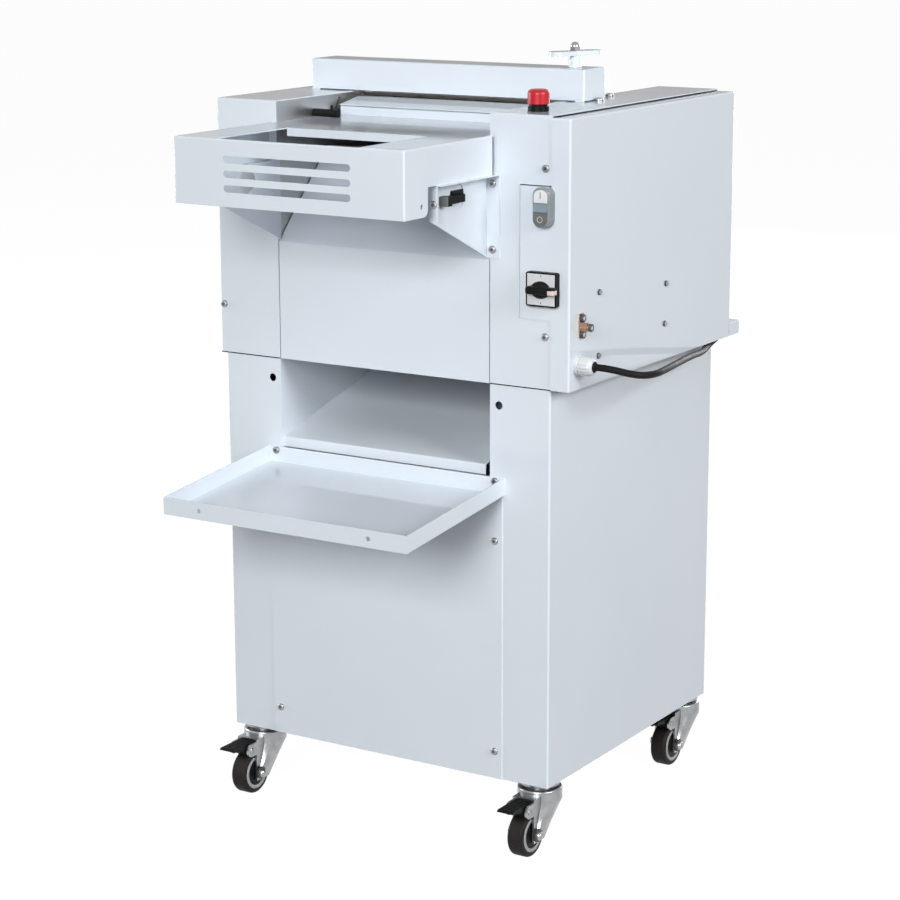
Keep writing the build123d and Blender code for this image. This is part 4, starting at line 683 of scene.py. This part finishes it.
def rotary_knob():
    """Oval knob with a grip bar across it, whose right end carries the pale pointer."""
    dome = [
        (KNOB_GAP, 0.0), (KNOB_GAP, KNOB_HALF_HEIGHT), (0.0034, KNOB_HALF_HEIGHT), (0.0062, 0.0106),
        (0.0078, 0.0084), (0.0084, 0.0),
    ]

    def oval(turn, index):
        return KNOB_HALF_WIDTH / math.hypot(
            KNOB_HALF_WIDTH * math.cos(turn), KNOB_HALF_HEIGHT * math.sin(turn))

    centre = Vector((ROTARY_X, ROTARY_FRONT, ROTARY_Z))
    disc = turned("disc", dome, centre, FORWARD, ripple=oval)
    low = (ROTARY_X - GRIP_LEFT, KNOB_FRONT, ROTARY_Z - GRIP_HALF)
    high = (ROTARY_X + GRIP_RIGHT, ROTARY_FRONT - GRIP_GAP, ROTARY_Z + GRIP_HALF)
    mesh = merged("knob_grip", [disc, rounded_plate("bar", low, high, GRIP_EDGE)])
    grip = add_piece("knob_grip", mesh, BLACK_PLASTIC, "switch_knob")
    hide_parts("switch_knob")
    low = (ROTARY_X + POINTER_LEFT, KNOB_FRONT - POINTER_PROUD, ROTARY_Z - POINTER_BELOW)
    high = (ROTARY_X + GRIP_RIGHT + POINTER_PROUD, KNOB_FRONT + POINTER_DEPTH, ROTARY_Z + POINTER_ABOVE)
    pointer = rounded_plate("knob_pointer", low, high, POINTER_EDGE)
    add_piece("knob_pointer", pointer, MARK_PALE, "switch_knob")


# Screws, terminal and seams; the dark sockets, rims and seam strips are painted shade

def separate_boxes(name):
    """Lowest and highest corner of each separate solid in a node."""
    form = bmesh.new()
    form.from_mesh(nodes[name].data)
    bmesh.ops.remove_doubles(form, verts=form.verts, dist=WELD_DISTANCE)
    seen = set()
    boxes = []
    for start in form.verts:
        if start in seen:
            continue
        seen.add(start)
        reached = [start]
        spots = []
        while reached:
            vertex = reached.pop()
            spots.append(vertex.co + MIDDLE)
            neighbours = {edge.other_vert(vertex) for edge in vertex.link_edges} - seen
            seen |= neighbours
            reached.extend(neighbours)
        low = Vector([min(spot[axis] for spot in spots) for axis in range(3)])
        high = Vector([max(spot[axis] for spot in spots) for axis in range(3)])
        boxes.append((low, high))
    form.free()
    return boxes


def screw_socket_shade():
    """Dark hexagon in the head of every screw, painted shade of its socket: most face the front, two
    stand on top.
    """
    profile = [
        (-SOCKET_SUNK, 0.0), (-SOCKET_SUNK, SOCKET_RADIUS),
        (SOCKET_PROUD, SOCKET_RADIUS), (SOCKET_PROUD, 0.0),
    ]
    sockets = []
    for low, high in separate_boxes("screws"):
        middle = (low + high) / 2
        on_top = high.z - low.z > high.y - low.y
        if on_top:
            seat, axis = Vector((middle.x, middle.y, high.z)), UPWARD
        else:
            seat, axis = Vector((middle.x, low.y, middle.z)), FORWARD
        sockets.append(turned("socket", profile, seat, axis, SOCKET_SIDES))
    # Each hexagon is painted shade of a socket recess that is not cut into the head.
    add_piece("screw_socket_shade", merged("screw_socket_shade", sockets), DARK_BOLT_AND_SHADE, "cabinet")


def terminal_rings():
    """Bright ends with dark rims on the two bolts and the stud of the earth terminal; the rims are
    painted shade round the domed ends.
    """
    rim = [
        (-0.0032, 0.0046), (-0.0032, 0.0056), (0.0003, 0.0056), (0.0006, 0.0052), (0.0006, 0.0034),
        (-0.0002, 0.0034),
    ]
    end = [(0.0001, 0.0), (0.0001, 0.0036), (0.0005, 0.0030), (0.0008, 0.0)]
    seats = [Vector((x, TERMINAL_Y, z)) for x, z in TERMINAL_BOLTS]
    # The dark rims are painted shade round the bright bolt ends.
    rims = [turned("rim", rim, seat, RIGHTWARD, SMALL_ROUND_STEPS) for seat in seats]
    add_piece("terminal_rims", merged("terminal_rims", rims), DARK_BOLT_AND_SHADE, "cabinet")
    ends = [turned("end", end, seat, RIGHTWARD, SMALL_ROUND_STEPS) for seat in seats]
    add_piece("terminal_ends", merged("terminal_ends", ends), CHROME, "cabinet")


def head_seam_shadows():
    """Dark strip in the joint between the head and the base columns, painted shade of the narrow gap
    there.
    """
    for name, left, right in (
            ("seam_shadow_left", HEAD_LEFT, -OPENING_HALF), ("seam_shadow_right", OPENING_HALF, COLUMN_RIGHT)):
        low = (left, -SEAM_PROUD, BASE_TOP - SEAM / 2)
        high = (right, SEAM_SUNK, BASE_TOP + SEAM / 2)
        # The strip is painted shade of the gap between head and base, not a real seal.
        seam = rounded_plate(name, low, high, SEAM_EDGE)
        add_piece(name, seam, BLACK_RUBBER_AND_SHADE, "cabinet")


# Casters

def swivel_foot(corner):
    """Place on the floor under the swivel of a caster."""
    end, side = corner.split("_")
    x = CASTER_X if side == "right" else -CASTER_X
    return Vector((x, CASTER_Y[end], 0.0))


def wheel_trim(corner):
    """Pale rim and dark web on both sides of a wheel."""
    rim = [
        (-0.0003, 0.0265), (0.0006, 0.0262), (0.0011, 0.0250), (0.0011, 0.0222), (0.0005, 0.0212),
        (-0.0003, 0.0208),
    ]
    web = [
        (-0.0003, 0.0212), (0.0002, 0.0208), (0.0003, 0.0150), (0.0009, 0.0110), (0.0010, 0.0060),
        (-0.0003, 0.0060),
    ]
    centre = swivel_foot(corner) + Vector((0.0, -CASTER_TRAIL, AXLE_Z))
    wheel = corner + "_wheel"
    for label, way in AXLE_ENDS:
        along = RIGHTWARD * way
        side = centre + along * WHEEL_HALF
        name = corner + "_rim_" + label
        add_piece(name, turned(name, rim, side, along), HUB_PLASTIC, wheel)
        name = corner + "_web_" + label
        add_piece(name, turned(name, web, side, along), BLACK_PLASTIC, wheel)


def fork_trim(corner):
    """Dome nuts with dark washers on the axle, the washers painted shade round the nuts, and rivets on
    the pedal pin.
    """
    washer = [(-0.0030, 0.0060), (-0.0030, 0.0098), (0.0006, 0.0098), (0.0010, 0.0092), (0.0010, 0.0060)]
    nut = [
        (0.0006, 0.0), (0.0006, 0.0068), (0.0036, 0.0066), (0.0052, 0.0054), (0.0062, 0.0032),
        (0.0065, 0.0),
    ]
    rivet = [(-0.0003, 0.0), (-0.0003, 0.0046), (0.0005, 0.0045), (0.0013, 0.0034), (0.0017, 0.0)]
    foot = swivel_foot(corner)
    fork = corner + "_fork"
    for label, way in AXLE_ENDS:
        along = RIGHTWARD * way
        axle = foot + Vector((way * AXLE_END, -CASTER_TRAIL, AXLE_Z))
        # The washers are dark as painted shade round the foot of each nut.
        name = corner + "_washer_" + label
        add_piece(name, turned(name, washer, axle, along), DARK_BOLT_AND_SHADE, fork)
        name = corner + "_nut_" + label
        add_piece(name, turned(name, nut, axle, along), ZINC, fork)
        pin = foot + Vector((way * CHEEK, *PEDAL_PIN))
        name = corner + "_rivet_" + label
        add_piece(name, turned(name, rivet, pin, along), ZINC, fork)


def pedal_ribs(corner):
    """Grip ribs across the top of a brake pedal."""
    foot = swivel_foot(corner)
    for rib in range(PEDAL_RIBS):
        y = PEDAL_TIP + (PEDAL_ROOT - PEDAL_TIP) * rib / (PEDAL_RIBS - 1)
        low = foot + Vector((RIB_INSET - PEDAL_HALF, y, PEDAL_TOP - RIB_SUNK))
        high = foot + Vector((PEDAL_HALF - RIB_INSET, y + RIB_LENGTH, PEDAL_TOP + RIB_PROUD))
        name = corner + "_rib_" + str(rib)
        mesh = rounded_plate(name, low, high, RIB_EDGE)
        add_piece(name, mesh, BLACK_PLASTIC, corner + "_pedal")


# Stage

def point_camera():
    """Camera where the photograph was taken from."""
    camera = bpy.data.cameras.new("camera")
    camera.sensor_width = SENSOR
    camera.lens = CAMERA_LENS
    viewer = bpy.data.objects.new("camera", camera)
    bpy.context.scene.collection.objects.link(viewer)
    turn = Matrix.Rotation(math.radians(CAMERA_AZIMUTH), 4, "Z")
    tilt = Matrix.Rotation(math.radians(90 - CAMERA_ELEVATION), 4, "X")
    roll = Matrix.Rotation(math.radians(CAMERA_ROLL), 4, "Z")
    viewer.matrix_world = Matrix.Translation(place(*CAMERA_PLACE)) @ turn @ tilt @ roll
    bpy.context.scene.camera = viewer


def lamp(name, azimuth, elevation, size, power):
    """Square soft box that looks at the machine; azimuth 0 is the front and 90 the right side."""
    light = bpy.data.lights.new(name, "AREA")
    light.energy = power
    light.size = size
    around, up = math.radians(azimuth), math.radians(elevation)
    away = Vector((math.sin(around) * math.cos(up), -math.cos(around) * math.cos(up), math.sin(up)))
    box = bpy.data.objects.new(name, light)
    bpy.context.scene.collection.objects.link(box)
    box.location = place(*AIM) + away * LAMP_DISTANCE
    box.rotation_euler = (-away).to_track_quat("-Z", "Y").to_euler()


def grey(level):
    return (level, level, level, 1.0)


def seen_directly(tree):
    """1 for rays from the camera, a mirror or glass, 0 for the rest."""
    path = tree.nodes.new("ShaderNodeLightPath")
    total = path.outputs["Is Camera Ray"]
    for name in ("Is Glossy Ray", "Is Transmission Ray"):
        either = tree.nodes.new("ShaderNodeMath")
        either.operation = "MAXIMUM"
        tree.links.new(total, either.inputs[0])
        tree.links.new(path.outputs[name], either.inputs[1])
        total = either.outputs["Value"]
    return total


def sky_light(tree, height):
    """Light of the world, which fades from the horizon upwards."""
    sky = tree.nodes.new("ShaderNodeMapRange")
    sky.inputs["To Min"].default_value = HORIZON_LIGHT
    sky.inputs["To Max"].default_value = ZENITH_LIGHT
    tree.links.new(height, sky.inputs["Value"])
    return sky.outputs["Result"]


def white_backdrop(tree, height):
    """White, which glossy rays see with a grey band just over the horizon."""
    band = tree.nodes.new("ShaderNodeValToRGB")
    steps = band.color_ramp.elements
    steps[0].color = grey(1.0)
    steps[1].position = BAND_END
    steps[1].color = grey(1.0)
    for level in (BAND_FOOT, BAND_TOP):
        steps.new(level).color = grey(BAND_LEVEL)
    tree.links.new(height, band.inputs["Fac"])
    path = tree.nodes.new("ShaderNodeLightPath")
    shown = tree.nodes.new("ShaderNodeMapRange")
    shown.inputs["To Min"].default_value = 1.0
    tree.links.new(path.outputs["Is Glossy Ray"], shown.inputs["Value"])
    tree.links.new(band.outputs["Color"], shown.inputs["To Max"])
    return shown.outputs["Result"]


def white_world():
    """World that is white where it is seen and lights the machine only weakly."""
    world = bpy.data.worlds.new("studio")
    world.use_nodes = True
    tree = world.node_tree
    way = tree.nodes.new("ShaderNodeTexCoord")
    parts = tree.nodes.new("ShaderNodeSeparateXYZ")
    tree.links.new(way.outputs["Generated"], parts.inputs["Vector"])
    height = parts.outputs["Z"]
    level = tree.nodes.new("ShaderNodeMapRange")
    tree.links.new(seen_directly(tree), level.inputs["Value"])
    tree.links.new(sky_light(tree, height), level.inputs["To Min"])
    tree.links.new(white_backdrop(tree, height), level.inputs["To Max"])
    background = tree.nodes["Background"]
    background.inputs["Color"].default_value = grey(1.0)
    tree.links.new(level.outputs["Result"], background.inputs["Strength"])
    bpy.context.scene.world = world


def floor_white():
    """Dim matt floor that takes the shadow and glows white where it is seen."""
    made = bpy.data.materials.new("floor_white")
    made.use_nodes = True
    tree = made.node_tree
    tree.nodes.remove(shader_of(made))
    matt = tree.nodes.new("ShaderNodeBsdfDiffuse")
    matt.inputs["Color"].default_value = grey(FLOOR_COLOUR)
    glow = tree.nodes.new("ShaderNodeEmission")
    level = tree.nodes.new("ShaderNodeMapRange")
    level.inputs["To Max"].default_value = FLOOR_GLOW
    tree.links.new(seen_directly(tree), level.inputs["Value"])
    tree.links.new(level.outputs["Result"], glow.inputs["Strength"])
    both = tree.nodes.new("ShaderNodeAddShader")
    tree.links.new(matt.outputs["BSDF"], both.inputs[0])
    tree.links.new(glow.outputs["Emission"], both.inputs[1])
    tree.links.new(both.outputs["Shader"], tree.nodes["Material Output"].inputs["Surface"])
    return made


def pale_floor():
    form = bmesh.new()
    bmesh.ops.create_grid(form, x_segments=FLOOR_CELLS, y_segments=FLOOR_CELLS, size=FLOOR_SIZE / 2)
    mesh = bpy.data.meshes.new("floor")
    form.to_mesh(mesh)
    form.free()
    mesh.materials.append(floor_white())
    floor = bpy.data.objects.new("floor", mesh)
    bpy.context.scene.collection.objects.link(floor)


point_camera()
power_cord()
finish_nodes()
paint_details()
cable_gland()
push_button_marks()
rotary_face()
rotary_knob()
screw_socket_shade()
terminal_rings()
head_seam_shadows()
for corner in CORNERS:
    wheel_trim(corner)
    fork_trim(corner)
    pedal_ribs(corner)
soften_edges()
lamp("front_box", **FRONT_LAMP)
lamp("right_box", **RIGHT_LAMP)
lamp("left_box", **LEFT_LAMP)
lamp("back_box", **BACK_LAMP)
white_world()
pale_floor()
bpy.context.scene.view_settings.view_transform = "Standard"
